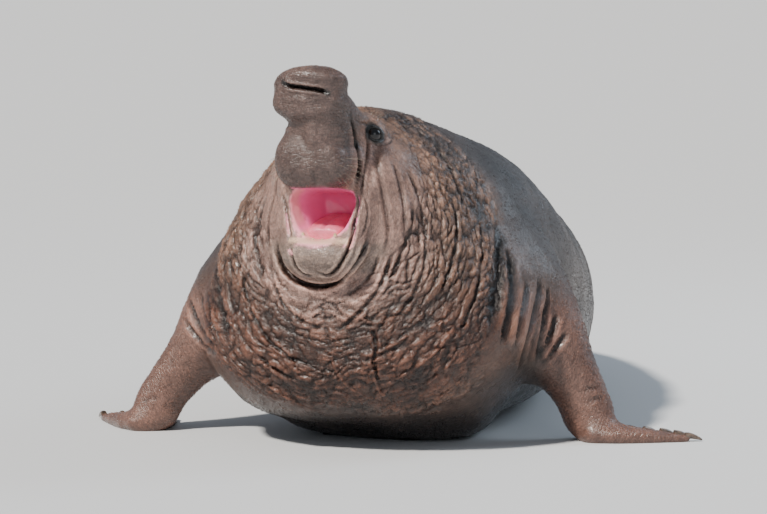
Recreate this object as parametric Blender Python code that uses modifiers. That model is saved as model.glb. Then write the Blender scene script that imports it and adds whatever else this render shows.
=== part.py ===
"""Bull elephant seal, life size, roaring with its chest propped on its foreflippers.

The animal faces -Y and its left side is +X. Z is up, the floor is z = 0, and the origin is on
the floor under the middle of the chest. The flesh is blocked out as lofts and ellipsoids, fused
into one skin, softened, creased, hollowed for the mouth, nostrils and eyes, and then parted by
thin cuts into the animal's named parts.
"""

import math

import bmesh
import bpy
import numpy as np
from mathutils import Euler, Matrix, Vector

# Driving sizes, in metres.
CUT_GAP = 0.0003
FUSE_VOXEL = 0.011
BODY_SIDES = 48
LIMB_SIDES = 24
SKIN_TRIANGLES = 10000
SIDES = ((1, "left"), (-1, "right"))

# The trunk's rings from the tail root to the skull: x, y, z of the centre, half the width,
# and the reach above and below the centre.
TRUNK = (
    (-0.72, 3.12, 0.14, 0.08, 0.06, 0.10),
    (-0.68, 2.95, 0.20, 0.15, 0.12, 0.17),
    (-0.55, 2.62, 0.25, 0.30, 0.23, 0.26),
    (-0.36, 2.10, 0.32, 0.43, 0.36, 0.34),
    (-0.19, 1.50, 0.38, 0.53, 0.46, 0.40),
    (-0.07, 0.90, 0.42, 0.61, 0.57, 0.44),
    (-0.03, 0.35, 0.46, 0.65, 0.69, 0.48),
    (-0.02, -0.02, 0.54, 0.62, 0.67, 0.52),
    (-0.01, -0.25, 0.66, 0.50, 0.57, 0.48),
)
# The line of the nape, from the crown of the head back over the shoulders.
NAPE = (
    (0.01, -0.52, 1.11, 0.19, 0.23, 0.20),
    (0.01, -0.30, 1.02, 0.32, 0.31, 0.30),
    (0.01, -0.05, 0.87, 0.50, 0.41, 0.40),
    (0.00, 0.20, 0.72, 0.57, 0.50, 0.40),
    (0.00, 0.50, 0.58, 0.58, 0.50, 0.40),
    (-0.04, 0.85, 0.48, 0.50, 0.44, 0.40),
)
# The raised neck and chest, from the floor up: centre, half the width, reach back and front.
NECK = (
    (0.00, -0.14, 0.04, 0.42, 0.52, 0.15),
    (0.00, -0.14, 0.12, 0.46, 0.56, 0.36),
    (-0.01, -0.15, 0.25, 0.59, 0.57, 0.53),
    (-0.02, -0.17, 0.42, 0.685, 0.51, 0.62),
    (-0.02, -0.21, 0.60, 0.66, 0.47, 0.605),
    (-0.02, -0.25, 0.75, 0.59, 0.44, 0.555),
    (-0.01, -0.28, 0.90, 0.505, 0.40, 0.500),
    (0.00, -0.30, 1.03, 0.425, 0.36, 0.460),
    (0.00, -0.32, 1.14, 0.35, 0.28, 0.42),
    (0.00, -0.33, 1.21, 0.24, 0.16, 0.31),
)
# Each arm from the shoulder to the wrist: centre, half the width, reach back and front.
ARMS = {
    1: (
        (0.38, 0.02, 0.68, 0.26, 0.34, 0.28),
        (0.53, 0.03, 0.48, 0.23, 0.25, 0.22),
        (0.69, 0.035, 0.30, 0.142, 0.14, 0.14),
        (0.765, 0.04, 0.17, 0.118, 0.10, 0.10),
        (0.805, 0.05, 0.08, 0.12, 0.085, 0.09),
    ),
    -1: (
        (-0.44, -0.08, 0.68, 0.27, 0.34, 0.28),
        (-0.62, -0.13, 0.48, 0.23, 0.25, 0.22),
        (-0.785, -0.19, 0.30, 0.130, 0.14, 0.14),
        (-0.885, -0.235, 0.17, 0.108, 0.10, 0.10),
        (-0.945, -0.255, 0.08, 0.112, 0.085, 0.09),
    ),
}
# Each hand's heel on the floor and the way its digits point, in degrees from +X or -X to +Y.
HANDS = {1: (0.82, 0.03, 38), -1: (-0.96, -0.27, 58)}
# Each digit from the leading edge back: how far across the hand it starts, its angle, its length.
DIGITS = ((-0.080, -9, 0.36), (-0.042, -3, 0.34), (-0.004, 3, 0.31), (0.034, 10, 0.27), (0.070, 18, 0.23))
NAIL_LENGTH = 0.042

EYE = (0.144, -0.652, 1.224)
EYE_AXIS = (0.66, -0.72, 0.22)
EYE_RADIUS = 0.036
LID_THICKNESS = 0.006
# Half the length and height of the gap between the lids, and how far its outer corner droops.
LID_OPENING = (0.031, 0.023)
LID_DROOP = 26
EAR = (0.262, -0.41, 1.20)
EAR_RADIUS = 0.007
EAR_DEPTH = 0.03

# The fold that rings the chin, as an arc in the front view: centre and radii.
CHIN_CENTRE = (0.0, 0.860)
CHIN_REACH = (0.205, 0.205)
# Each lower tooth of one side: out from the middle, forward, its height over the lip, its radius.
TEETH = ((0.018, -0.850, 0.012, 0.006), (0.058, -0.838, 0.028, 0.011))
LIP_HEIGHT = 0.832

# Lines in the side view, as y and z, along which the animal is parted.
HEAD_CUT = ((-0.27, 1.60), (-0.30, 1.30), (-0.50, 0.905), (-1.30, 0.905), (-1.30, 1.60))
NECK_CUT = ((0.20, 1.60), (0.18, 1.22), (-0.62, 0.66), (-0.90, 0.50), (-1.30, 0.48), (-1.30, 1.60))
JAW_TOP = 0.945
JAW_BACK = -0.62
NOSE_CUT = ((-0.70, 1.60), (-0.70, 1.325), (-1.30, 1.205), (-1.30, 1.60))
CHEST_END = 0.30
TORSO_END = 1.50
RUMP_END = 2.93
# Lines in the front view, as x and z for the left side, that part the arm and the hand.
SHOULDER_CUT = ((0.52, 0.98), (0.64, 0.66), (0.655, 0.42), (0.615, 0.25), (0.56, 0.10), (0.56, -0.20))
WRIST_HEIGHT = 0.115

SKIN = ((0.30, 0.22, 0.18), 0.45)
FLIPPER_SKIN = ((0.24, 0.15, 0.12), 0.42)
EYE_BLACK = ((0.02, 0.015, 0.012), 0.08)
TONGUE_PINK = ((0.80, 0.30, 0.33), 0.35)


def remove_everything():
    for obj in list(bpy.data.objects):
        bpy.data.objects.remove(obj)


def new_collection(name):
    collection = bpy.data.collections.new(name)
    bpy.context.scene.collection.children.link(collection)
    return collection


def add_object(name, mesh, collection):
    obj = bpy.data.objects.new(name, mesh)
    collection.objects.link(obj)
    return obj


def finish_mesh(name, builder, collection):
    mesh = bpy.data.meshes.new(name)
    builder.to_mesh(mesh)
    builder.free()
    return add_object(name, mesh, collection)


def smooth_rows(rows, steps):
    """Rows of numbers read from a smooth curve through the given rows, steps to each span."""
    rows = np.array(rows, float)
    ends = np.vstack([2 * rows[0] - rows[1], rows, 2 * rows[-1] - rows[-2]])
    out = []
    for i in range(len(rows) - 1):
        a, b, c, d = ends[i : i + 4]
        for t in np.arange(steps) / steps:
            out.append(
                0.5 * (2 * b + (c - a) * t + (2 * a - 5 * b + 4 * c - d) * t**2
                       + (3 * b - a - 3 * c + d) * t**3)
            )
    out.append(rows[-1])
    return np.array(out)


def ring_points(centre, along, upward, half_width, above, below, sides, square):
    """One closed section, square to the line along, its corners squarer as square passes 2."""
    along = along.normalized()
    side = upward.cross(along).normalized()
    upward = along.cross(side).normalized()
    points = []
    for i in range(sides):
        angle = 2 * math.pi * i / sides
        c = math.copysign(abs(math.cos(angle)) ** (2 / square), math.cos(angle))
        s = math.copysign(abs(math.sin(angle)) ** (2 / square), math.sin(angle))
        points.append(centre + side * c * half_width + upward * s * (above if s > 0 else below))
    return points


def loft(name, rows, collection, steps=4, sides=LIMB_SIDES, upward=(0, 0, 1), square=2.0, dome=0.5):
    """A closed body through rows of (x, y, z, half width, reach above, reach below).

    Each end is closed by a dome that stands out by dome times the end ring's smallest reach.
    """
    rows = smooth_rows(rows, steps)
    centres = [Vector(row[:3]) for row in rows]
    last = len(rows) - 1
    lines = [(centres[min(i + 1, last)] - centres[max(i - 1, 0)]).normalized() for i in range(last + 1)]
    stack = [(c, line, row[3:6]) for c, line, row in zip(centres, lines, rows)]
    for end, step in ((0, -1), (last, 1)):
        reach = dome * min(rows[end][3:6])
        for angle in (22, 45, 67, 82):
            shrink, push = math.cos(math.radians(angle)), math.sin(math.radians(angle))
            centre = centres[end] + lines[end] * push * reach * step
            ring = (centre, lines[end], rows[end][3:6] * shrink)
            stack.insert(0 if step < 0 else len(stack), ring)
    builder = bmesh.new()
    loops = []
    for centre, line, (half_width, above, below) in stack:
        points = ring_points(centre, line, Vector(upward), half_width, above, below, sides, square)
        loops.append([builder.verts.new(p) for p in points])
    for low, high in zip(loops, loops[1:]):
        for i in range(sides):
            j = (i + 1) % sides
            builder.faces.new((low[i], low[j], high[j], high[i]))
    builder.faces.new(loops[0][::-1])
    builder.faces.new(loops[-1])
    bmesh.ops.recalc_face_normals(builder, faces=builder.faces)
    return finish_mesh(name, builder, collection)


def ellipsoid(name, centre, radii, collection, turn=(0, 0, 0), segments=32):
    """An ellipsoid at centre, turned by the given degrees about X, Y and Z."""
    builder = bmesh.new()
    bmesh.ops.create_uvsphere(builder, u_segments=segments, v_segments=segments * 5 // 8, radius=1)
    rotation = Euler([math.radians(a) for a in turn]).to_matrix().to_4x4()
    place = Matrix.Translation(centre) @ rotation @ Matrix.Diagonal((*radii, 1))
    bmesh.ops.transform(builder, matrix=place, verts=builder.verts)
    return finish_mesh(name, builder, collection)


def prism(name, outline, across, span, collection):
    """A flat outline drawn out over the span along the axis across: 0 for X, 1 for Y, 2 for Z."""
    builder = bmesh.new()
    ends = []
    for place in span:
        points = [np.insert(pair, across, place) for pair in outline]
        ends.append([builder.verts.new(p) for p in points])
    count = len(outline)
    for i in range(count):
        j = (i + 1) % count
        builder.faces.new((ends[0][i], ends[0][j], ends[1][j], ends[1][i]))
    builder.faces.new(ends[0][::-1])
    builder.faces.new(ends[1])
    bmesh.ops.recalc_face_normals(builder, faces=builder.faces)
    return finish_mesh(name, builder, collection)


def block_head(collection):
    ellipsoid("skull", (0.0, -0.50, 1.13), (0.19, 0.22, 0.17), collection, (-15, 0, 0))
    ellipsoid("brow", (0.0, -0.60, 1.22), (0.155, 0.13, 0.076), collection, (-15, 0, 0))
    ellipsoid("throat", (0.0, -0.58, 0.86), (0.34, 0.23, 0.30), collection)
    # The upper lip: a broad block that hangs in front of the skull.
    loft(
        "muzzle",
        (
            (-0.01, -0.56, 1.13, 0.145, 0.12, 0.09),
            (-0.015, -0.70, 1.14, 0.148, 0.125, 0.115),
            (-0.020, -0.82, 1.14, 0.150, 0.12, 0.13),
            (-0.018, -0.91, 1.13, 0.133, 0.095, 0.11),
        ),
        collection, square=2.6, dome=0.45,
    )
    # The proboscis rises from the brow and ends in a bulb that lies across it.
    loft(
        "rising_nose",
        (
            (0.0, -0.62, 1.20, 0.125, 0.10, 0.12),
            (0.006, -0.74, 1.27, 0.124, 0.10, 0.13),
            (0.006, -0.84, 1.33, 0.122, 0.09, 0.12),
            (-0.005, -0.89, 1.38, 0.130, 0.07, 0.09),
        ),
        collection, square=2.4, dome=0.6,
    )
    ellipsoid("nose_upper", (-0.008, -0.90, 1.425), (0.152, 0.10, 0.064), collection, (-18, -4, 0))
    ellipsoid("nose_lower", (-0.014, -0.91, 1.355), (0.149, 0.090, 0.074), collection, (-8, -4, 0))
    # The lower jaw, dropped wide open, and the chin.
    loft(
        "jaw",
        (
            (0.0, -0.45, 0.96, 0.24, 0.10, 0.18),
            (0.0, -0.62, 0.885, 0.225, 0.09, 0.17),
            (0.0, -0.76, 0.815, 0.195, 0.075, 0.140),
            (0.0, -0.86, 0.765, 0.145, 0.07, 0.095),
        ),
        collection, square=2.1, dome=0.45,
    )
    for side, name in SIDES:
        ellipsoid(f"cheek_{name}", (side * 0.112, -0.50, 1.04), (0.195, 0.27, 0.20), collection)
        ellipsoid(f"lid_{name}", (side * 0.132, -0.630, 1.220), (0.060, 0.058, 0.056), collection)
        ellipsoid(f"brow_{name}", (side * 0.135, -0.625, 1.268), (0.070, 0.055, 0.026), collection, (0, side * 25, 0))
        # The stretched skin between the upper lip and the jaw at the corner of the mouth.
        loft(
            f"mouth_side_{name}",
            (
                (side * 0.115, -0.80, 0.83, 0.05, 0.07, 0.05),
                (side * 0.135, -0.77, 0.92, 0.05, 0.09, 0.05),
                (side * 0.150, -0.74, 1.03, 0.05, 0.10, 0.05),
            ),
            collection, upward=(0, 1, 0), dome=0.5,
        )


def mirror(point, side):
    return (side * point[0], point[1], point[2])


def hand_frame(side):
    """The hand's heel, the way it points and the way across it to its trailing edge."""
    heel_x, heel_y, angle = HANDS[side]
    angle = math.radians(angle)
    out = Vector((side * math.cos(angle), math.sin(angle), 0))
    across = Vector((-side * math.sin(angle), math.cos(angle), 0))
    return Vector((heel_x, heel_y, 0)), out, across


def digit_line(side, shift, turn):
    """The start of a digit on the floor and the way it points."""
    heel, out, across = hand_frame(side)
    turn = math.radians(turn)
    way = out * math.cos(turn) + across * math.sin(turn)
    return heel + across * shift, way


def block_arm(side, name, collection):
    loft(f"arm_{name}", ARMS[side], collection, upward=(0, 1, 0), dome=0.4)
    heel, out, _ = hand_frame(side)
    # The palm and the web, as long as the shortest digit.
    loft(
        f"palm_{name}",
        [
            (*(heel + out * along + Vector((0, 0, height))), half, up, 0.05)
            for along, height, half, up in (
                (-0.04, 0.035, 0.095, 0.05),
                (0.08, 0.03, 0.12, 0.042),
                (0.18, 0.015, 0.13, 0.026),
                (0.27, 0.008, 0.12, 0.014),
            )
        ],
        collection, dome=0.6,
    )
    for shift, turn, length in DIGITS:
        start, way = digit_line(side, shift, turn)
        loft(
            f"digit_{name}",
            [
                (*(start + way * along * length + Vector((0, 0, height))), half, up, 0.04)
                for along, height, half, up in (
                    (0.10, 0.03, 0.034, 0.040),
                    (0.50, 0.022, 0.032, 0.030),
                    (0.97, 0.014, 0.022, 0.018),
                )
            ],
            collection, sides=16, dome=0.8,
        )


def block_tail(collection):
    loft(
        "tail",
        (
            (-0.66, 2.90, 0.17, 0.10, 0.08, 0.10),
            (-0.70, 3.08, 0.12, 0.050, 0.040, 0.045),
            (-0.73, 3.19, 0.09, 0.026, 0.022, 0.024),
        ),
        collection, dome=0.8,
    )
    for side, name in SIDES:
        loft(
            f"ankle_{name}",
            (
                (-0.66 + side * 0.08, 2.86, 0.15, 0.10, 0.09, 0.12),
                (-0.72 + side * 0.15, 3.04, 0.10, 0.075, 0.06, 0.09),
                (-0.77 + side * 0.19, 3.18, 0.06, 0.09, 0.045, 0.06),
                (-0.81 + side * 0.215, 3.33, 0.045, 0.135, 0.03, 0.05),
                (-0.84 + side * 0.22, 3.44, 0.035, 0.160, 0.02, 0.05),
            ),
            collection, dome=0.4,
        )
        for shift, reach in ((-0.13, 0.22), (-0.065, 0.13), (0.0, 0.09), (0.065, 0.13), (0.13, 0.22)):
            loft(
                f"toe_{name}",
                (
                    (-0.84 + side * 0.22 + shift * 0.7, 3.38, 0.03, 0.05, 0.022, 0.05),
                    (-0.86 + side * 0.225 + shift, 3.50, 0.022, 0.045, 0.018, 0.05),
                    (-0.88 + side * 0.23 + shift * 1.15, 3.50 + reach, 0.012, 0.024, 0.012, 0.04),
                ),
                collection, sides=16, dome=0.6,
            )


def block_out(collection):
    """The animal's masses of flesh, overlapping, as separate closed bodies."""
    loft("trunk", TRUNK, collection, sides=BODY_SIDES, square=2.1)
    loft("nape", NAPE, collection, sides=BODY_SIDES, square=2.1)
    loft("neck", NECK, collection, sides=BODY_SIDES, upward=(0, 1, 0), square=2.15, dome=0.35)
    block_head(collection)
    block_tail(collection)
    for side, name in SIDES:
        block_arm(side, name, collection)


def evaluated_copy(obj, name, collection):
    """A mesh object that holds obj as its modifiers leave it; obj is removed."""
    bpy.context.view_layer.update()
    graph = bpy.context.evaluated_depsgraph_get()
    mesh = bpy.data.meshes.new_from_object(obj.evaluated_get(graph))
    mesh.transform(obj.matrix_world)
    bpy.data.objects.remove(obj)
    return add_object(name, mesh, collection)


def fuse(name, pieces, voxel, collection):
    """One closed skin over all the pieces, which are removed."""
    builder = bmesh.new()
    for piece in pieces:
        builder.from_mesh(piece.data)
        bpy.data.objects.remove(piece)
    rough = finish_mesh(name + "_rough", builder, collection)
    remesh = rough.modifiers.new("fuse", "REMESH")
    remesh.mode = "VOXEL"
    remesh.voxel_size = voxel
    return evaluated_copy(rough, name, collection)


def read_points(mesh, kind="co"):
    """The mesh's points, or with kind normal the way each one faces."""
    points = np.empty(len(mesh.vertices) * 3, np.float32)
    mesh.vertices.foreach_get(kind, points)
    return points.reshape(-1, 3).astype(float)


def write_points(mesh, points):
    mesh.vertices.foreach_set("co", points.astype(np.float32).ravel())
    mesh.update()


def soften(mesh, rounds, share):
    """Moves each point towards the mean of its neighbours by its own share, rounds times."""
    edges = np.empty(len(mesh.edges) * 2, np.int32)
    mesh.edges.foreach_get("vertices", edges)
    first, second = edges.reshape(-1, 2).T
    points = read_points(mesh)
    count = np.bincount(first, minlength=len(points)) + np.bincount(second, minlength=len(points))
    share = share(points)[:, None]
    for _ in range(rounds):
        total = np.stack(
            [
                np.bincount(first, points[second, k], len(points))
                + np.bincount(second, points[first, k], len(points))
                for k in range(3)
            ],
            axis=1,
        )
        points += (total / count[:, None] - points) * share
    write_points(mesh, points)


def headness(points):
    """1 on the head, chin and muzzle, 0 on the body."""
    return np.clip((points[:, 2] - 0.58) / 0.1, 0, 1) * np.clip((-0.50 - points[:, 1]) / 0.12, 0, 1)


def fineness(points):
    """1 where the skin is shaped finely, on the head, hands and hind flippers, 0 elsewhere."""
    low = np.clip((0.09 - points[:, 2]) / 0.04, 0, 1)
    hands = low * np.clip((np.abs(points[:, 0]) - 0.66) / 0.08, 0, 1) * (points[:, 1] < 0.8)
    feet = np.clip((points[:, 1] - 2.95) / 0.1, 0, 1)
    return np.maximum(headness(points), np.maximum(hands, 0.5 * feet))


def crease(mesh, line, width, depth, side_lips=0.3):
    """Presses a groove with raised lips into the skin that faces the front.

    The line is a row of (x, z) points in the front view, and the groove fades at its ends.
    """
    points, normals = read_points(mesh), read_points(mesh, "normal")
    near = np.full(len(points), 1e9)
    fade = np.zeros(len(points))
    flat = points[:, [0, 2]]
    line = smooth_rows(line, 6)
    steps = np.linspace(0, 1, len(line))
    for a, b, start, end in zip(line, line[1:], steps, steps[1:]):
        way = b - a
        t = np.clip((flat - a) @ way / (way @ way), 0, 1)
        distance = np.linalg.norm(flat - a - t[:, None] * way, axis=1)
        closer = distance < near
        near[closer] = distance[closer]
        fade[closer] = np.sin(np.pi * np.clip(start + t[closer] * (end - start), 0, 1)) ** 0.5
    facing = np.clip((-normals[:, 1] - 0.1) / 0.3, 0, 1) * fade
    groove = -np.exp(-((near / width) ** 2)) + side_lips * np.exp(-(((near - 2 * width) / width) ** 2))
    write_points(mesh, points + normals * (depth * groove * facing)[:, None])


def arc(centre, radii, half_angle, count=13):
    """Points along an arc that hangs below its centre, in the front view."""
    angles = np.radians(np.linspace(-half_angle, half_angle, count))
    return [(centre[0] + radii[0] * math.sin(a), centre[1] - radii[1] * math.cos(a)) for a in angles]


def crease_skin(mesh):
    crease(mesh, arc(CHIN_CENTRE, CHIN_REACH, 90), 0.020, 0.012)
    for side in (1, -1):
        # The fold between the upper lip and the cheek.
        crease(mesh, [(side * 0.165, 1.24), (side * 0.178, 1.12), (side * 0.168, 1.00)], 0.012, 0.010)
        # Folds that fan out from the armpit over the shoulder.
        for step in range(3):
            top = (side * (0.56 + 0.06 * step), 0.72 - 0.06 * step)
            middle = (side * (0.595 + 0.035 * step), 0.52 - 0.03 * step)
            crease(mesh, [top, middle, (side * 0.63, 0.31)], 0.018, 0.010)


def boolean(obj, cutter, operation):
    """obj joined with, cut by or kept inside the cutter; the name stays.

    The manifold solver is used, as the exact one loses the cut round the tongue.
    """
    name, collection = obj.name, obj.users_collection[0]
    obj.name = name + "_uncut"
    modifier = obj.modifiers.new("cut", "BOOLEAN")
    modifier.operation = operation
    modifier.solver = "MANIFOLD"
    modifier.object = cutter
    return evaluated_copy(obj, name, collection)


def cut_away(obj, cutter, operation="DIFFERENCE"):
    """A Boolean whose cutter is removed afterwards."""
    obj = boolean(obj, cutter, operation)
    bpy.data.objects.remove(cutter)
    return obj


def grow(obj, gap):
    """Moves every face of a closed cutter outward by the gap."""
    builder = bmesh.new()
    builder.from_mesh(obj.data)
    builder.normal_update()
    moves = [vert.normal * gap * vert.calc_shell_factor() for vert in builder.verts]
    for vert, move in zip(builder.verts, moves):
        vert.co += move
    builder.to_mesh(obj.data)
    builder.free()


def keep_largest(obj):
    """Drops all but the largest closed surface of a mesh."""
    builder = bmesh.new()
    builder.from_mesh(obj.data)
    bmesh.ops.dissolve_degenerate(builder, dist=1e-5, edges=builder.edges)
    left = set(builder.faces)
    largest = set()
    while left:
        shell, front = set(), [left.pop()]
        while front:
            face = front.pop()
            shell.add(face)
            near = {other for edge in face.edges for other in edge.link_faces} & left
            left -= near
            front.extend(near)
        if len(shell) > len(largest):
            largest = shell
    scraps = [face for face in builder.faces if face not in largest]
    bmesh.ops.delete(builder, geom=scraps, context="FACES")
    bmesh.ops.triangulate(builder, faces=builder.faces)
    builder.to_mesh(obj.data)
    builder.free()
    obj.data.shade_smooth()
    obj.data.set_sharp_from_angle(angle=math.radians(50))


def part_off(body, name, cutter, collection):
    """The flesh inside the cutter as a new node, and the body without it, a thin cut apart."""
    piece = boolean(add_object(name, body.data.copy(), collection), cutter, "INTERSECT")
    grow(cutter, CUT_GAP)
    body = cut_away(body, cutter)
    keep_largest(piece)
    return piece, body


def reduce_triangles(obj, count):
    """Fewer triangles over the plain parts of the skin, more where it is finely shaped."""
    group = obj.vertex_groups.new(name="plain")
    fine = fineness(read_points(obj.data))
    for index, value in enumerate(fine):
        group.add([index], 1.0 - 0.55 * value, "REPLACE")
    decimate = obj.modifiers.new("reduce", "DECIMATE")
    decimate.ratio = count / (2 * len(obj.data.polygons))
    decimate.use_collapse_triangulate = True
    decimate.vertex_group = "plain"
    decimate.vertex_group_factor = 1.0
    obj = evaluated_copy(obj, "body", obj.users_collection[0])
    obj.vertex_groups.clear()
    return obj


def carve_mouth(body, guides):
    """The open mouth, wider at the upper lip than at the lower, with the tongue left in it."""
    cavity = loft(
        "mouth_space",
        (
            (0.0, -1.06, 0.935, 0.150, 0.10, 0.115),
            (0.0, -0.84, 0.935, 0.124, 0.10, 0.100),
            (0.0, -0.72, 0.935, 0.108, 0.085, 0.090),
            (0.0, -0.61, 0.940, 0.070, 0.055, 0.060),
        ),
        guides, steps=2, square=3.0, dome=0.4,
    )
    points = read_points(cavity.data)
    points[:, 0] *= 1.0 + 0.34 * (points[:, 2] - 0.935) / 0.1
    write_points(cavity.data, points)
    body = cut_away(body, cavity)
    return cut_away(body, tongue_mass(0.0, guides), "UNION")


def tongue_mass(extra, guides):
    """The tongue on the floor of the mouth, or the space around it when extra is given."""
    return loft(
        "tongue_mass",
        [
            (0.0, y, z, half + extra, above + extra, 0.055 + extra)
            for y, z, half, above in (
                (-0.60, 0.890, 0.062, 0.030),
                (-0.70, 0.880, 0.066, 0.028),
                (-0.80, 0.862, 0.052, 0.020),
            )
        ],
        guides, steps=2, sides=16, dome=0.5,
    )


def carve_ears(body, guides):
    for side in (1, -1):
        pit = ellipsoid("ear_pit", mirror(EAR, side), (EAR_DEPTH, EAR_RADIUS, EAR_RADIUS), guides, segments=12)
        body = cut_away(body, pit)
    return body


def carve_nostrils(body, guides):
    for side in (1, -1):
        slit = ellipsoid(
            "nostril", (-0.012 + side * 0.036, -0.985, 1.385), (0.034, 0.05, 0.010), guides,
            (0, side * 14 - 4, 0), 16,
        )
        body = cut_away(body, slit)
    return body


def eye_place(side):
    """The turn and place that set +Z along the eye's axis at the eye's centre."""
    axis = Vector(mirror(EYE_AXIS, side)).normalized()
    droop = Matrix.Rotation(-side * math.radians(LID_DROOP), 4, "Z")
    turn = axis.to_track_quat("Z", "Y").to_matrix().to_4x4()
    return Matrix.Translation(mirror(EYE, side)) @ turn @ droop


def eyeball(name, side, radius, collection):
    builder = bmesh.new()
    bmesh.ops.create_uvsphere(builder, u_segments=20, v_segments=12, radius=radius)
    bmesh.ops.transform(builder, matrix=eye_place(side), verts=builder.verts)
    return finish_mesh(name, builder, collection)


def carve_eyes(body, guides):
    """Domed lids over each eye, a socket for the eyeball and the opening between its lids."""
    for side in (1, -1):
        lids = eyeball("lids", side, EYE_RADIUS + LID_THICKNESS, guides)
        body = cut_away(body, lids, "UNION")
        body = cut_away(body, eyeball("socket", side, EYE_RADIUS + CUT_GAP, guides))
        builder = bmesh.new()
        bmesh.ops.create_cone(
            builder, cap_ends=True, segments=24, radius1=0.9, radius2=1.1, depth=0.06,
            matrix=Matrix.Translation((0, 0, 0.03)),
        )
        place = eye_place(side) @ Matrix.Diagonal((*LID_OPENING, 1, 1))
        bmesh.ops.transform(builder, matrix=place, verts=builder.verts)
        body = cut_away(body, finish_mesh("lid_opening", builder, guides))
    return body


def peg(name, root, tip, root_radius, tip_radius, sides, collection):
    """A straight tapered peg from its root to its tip."""
    root, tip = Vector(root), Vector(tip)
    line = tip - root
    builder = bmesh.new()
    turn = line.to_track_quat("Z", "Y").to_matrix().to_4x4()
    bmesh.ops.create_cone(
        builder, cap_ends=True, segments=sides, radius1=root_radius, radius2=tip_radius,
        depth=line.length, matrix=Matrix.Translation((root + tip) / 2) @ turn,
    )
    return finish_mesh(name, builder, collection)


def tooth(side, row, collection):
    """A blunt lower tooth, its root sunk in the jaw behind the lip."""
    out, forward, height, radius = row
    root = (side * out, forward, LIP_HEIGHT - 0.03)
    tip = (side * out * 1.08, forward - 0.004, LIP_HEIGHT + height)
    return peg("tooth", root, tip, radius, radius * 0.45, 10, collection)


def nail(side, shift, turn, length, collection):
    """A stout nail, its root sunk in the back of the digit's tip."""
    start, way = digit_line(side, shift, turn)
    root = start + way * (length - 0.5 * NAIL_LENGTH) + Vector((0, 0, 0.024))
    tip = start + way * (length + NAIL_LENGTH) + Vector((0, 0, 0.008))
    return peg("nail", root, tip, 0.011, 0.003, 8, collection)


def material(name, colour, roughness):
    made = bpy.data.materials.new(name)
    made.use_nodes = True
    shader = made.node_tree.nodes["Principled BSDF"]
    shader.inputs["Base Color"].default_value = (*colour, 1.0)
    shader.inputs["Roughness"].default_value = roughness
    shader.inputs["Metallic"].default_value = 0.0
    return made


def part_animal(body, collection, guides):
    """Parts the carved body into its named nodes, from the head back, and returns them."""
    wide = (-1.6, 1.6)
    nodes = {}
    nodes["tongue"], body = part_off(body, "tongue", tongue_mass(0.006, guides), collection)
    cutter = prism("nose_space", NOSE_CUT, 0, (-0.4, 0.4), guides)
    nodes["proboscis"], body = part_off(body, "proboscis", cutter, collection)
    outline = [(-CHIN_REACH[0], JAW_TOP), *arc(CHIN_CENTRE, CHIN_REACH, 90), (CHIN_REACH[0], JAW_TOP)]
    cutter = prism("jaw_space", outline, 1, (-1.3, JAW_BACK), guides)
    nodes["lower_jaw"], body = part_off(body, "lower_jaw", cutter, collection)
    nodes["head"], body = part_off(body, "head", prism("head_space", HEAD_CUT, 0, wide, guides), collection)
    nodes["neck"], body = part_off(body, "neck", prism("neck_space", NECK_CUT, 0, wide, guides), collection)
    for side, name in SIDES:
        outline = [(side * x, z) for x, z in SHOULDER_CUT]
        outline += [(side * 1.6, -0.20), (side * 1.6, 0.98)]
        cutter = prism("arm_space", outline, 1, (-0.75, 0.62), guides)
        arm, body = part_off(body, f"arm_{name}", cutter, collection)
        outline = [(side * 0.4, -0.1), (side * 1.7, -0.1), (side * 1.7, WRIST_HEIGHT), (side * 0.4, WRIST_HEIGHT)]
        cutter = prism("hand_space", outline, 1, (-0.8, 0.8), guides)
        nodes[f"hand_{name}"], arm = part_off(arm, f"hand_{name}", cutter, collection)
        keep_largest(arm)
        nodes[f"arm_{name}"] = arm
    for name, end in (("chest", CHEST_END), ("torso", TORSO_END), ("rump", RUMP_END)):
        outline = [(-1.2, -0.3), (end, -0.3), (end, 1.7), (-1.2, 1.7)]
        nodes[name], body = part_off(body, name, prism("trunk_space", outline, 0, wide, guides), collection)
    for side, name in SIDES:
        outline = [
            (-0.68 + side * 0.055, 2.80), (-0.75 + side * 0.055, 3.35), (-0.90, 3.9),
            (-0.9 + side * 0.9, 3.9), (-0.7 + side * 0.9, 2.80),
        ]
        cutter = prism("foot_space", outline, 2, (-0.1, 0.6), guides)
        node = f"hind_flipper_{name}"
        nodes[node], body = part_off(body, node, cutter, collection)
    keep_largest(body)
    body.name = "tail"
    nodes["tail"] = body
    return nodes


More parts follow.
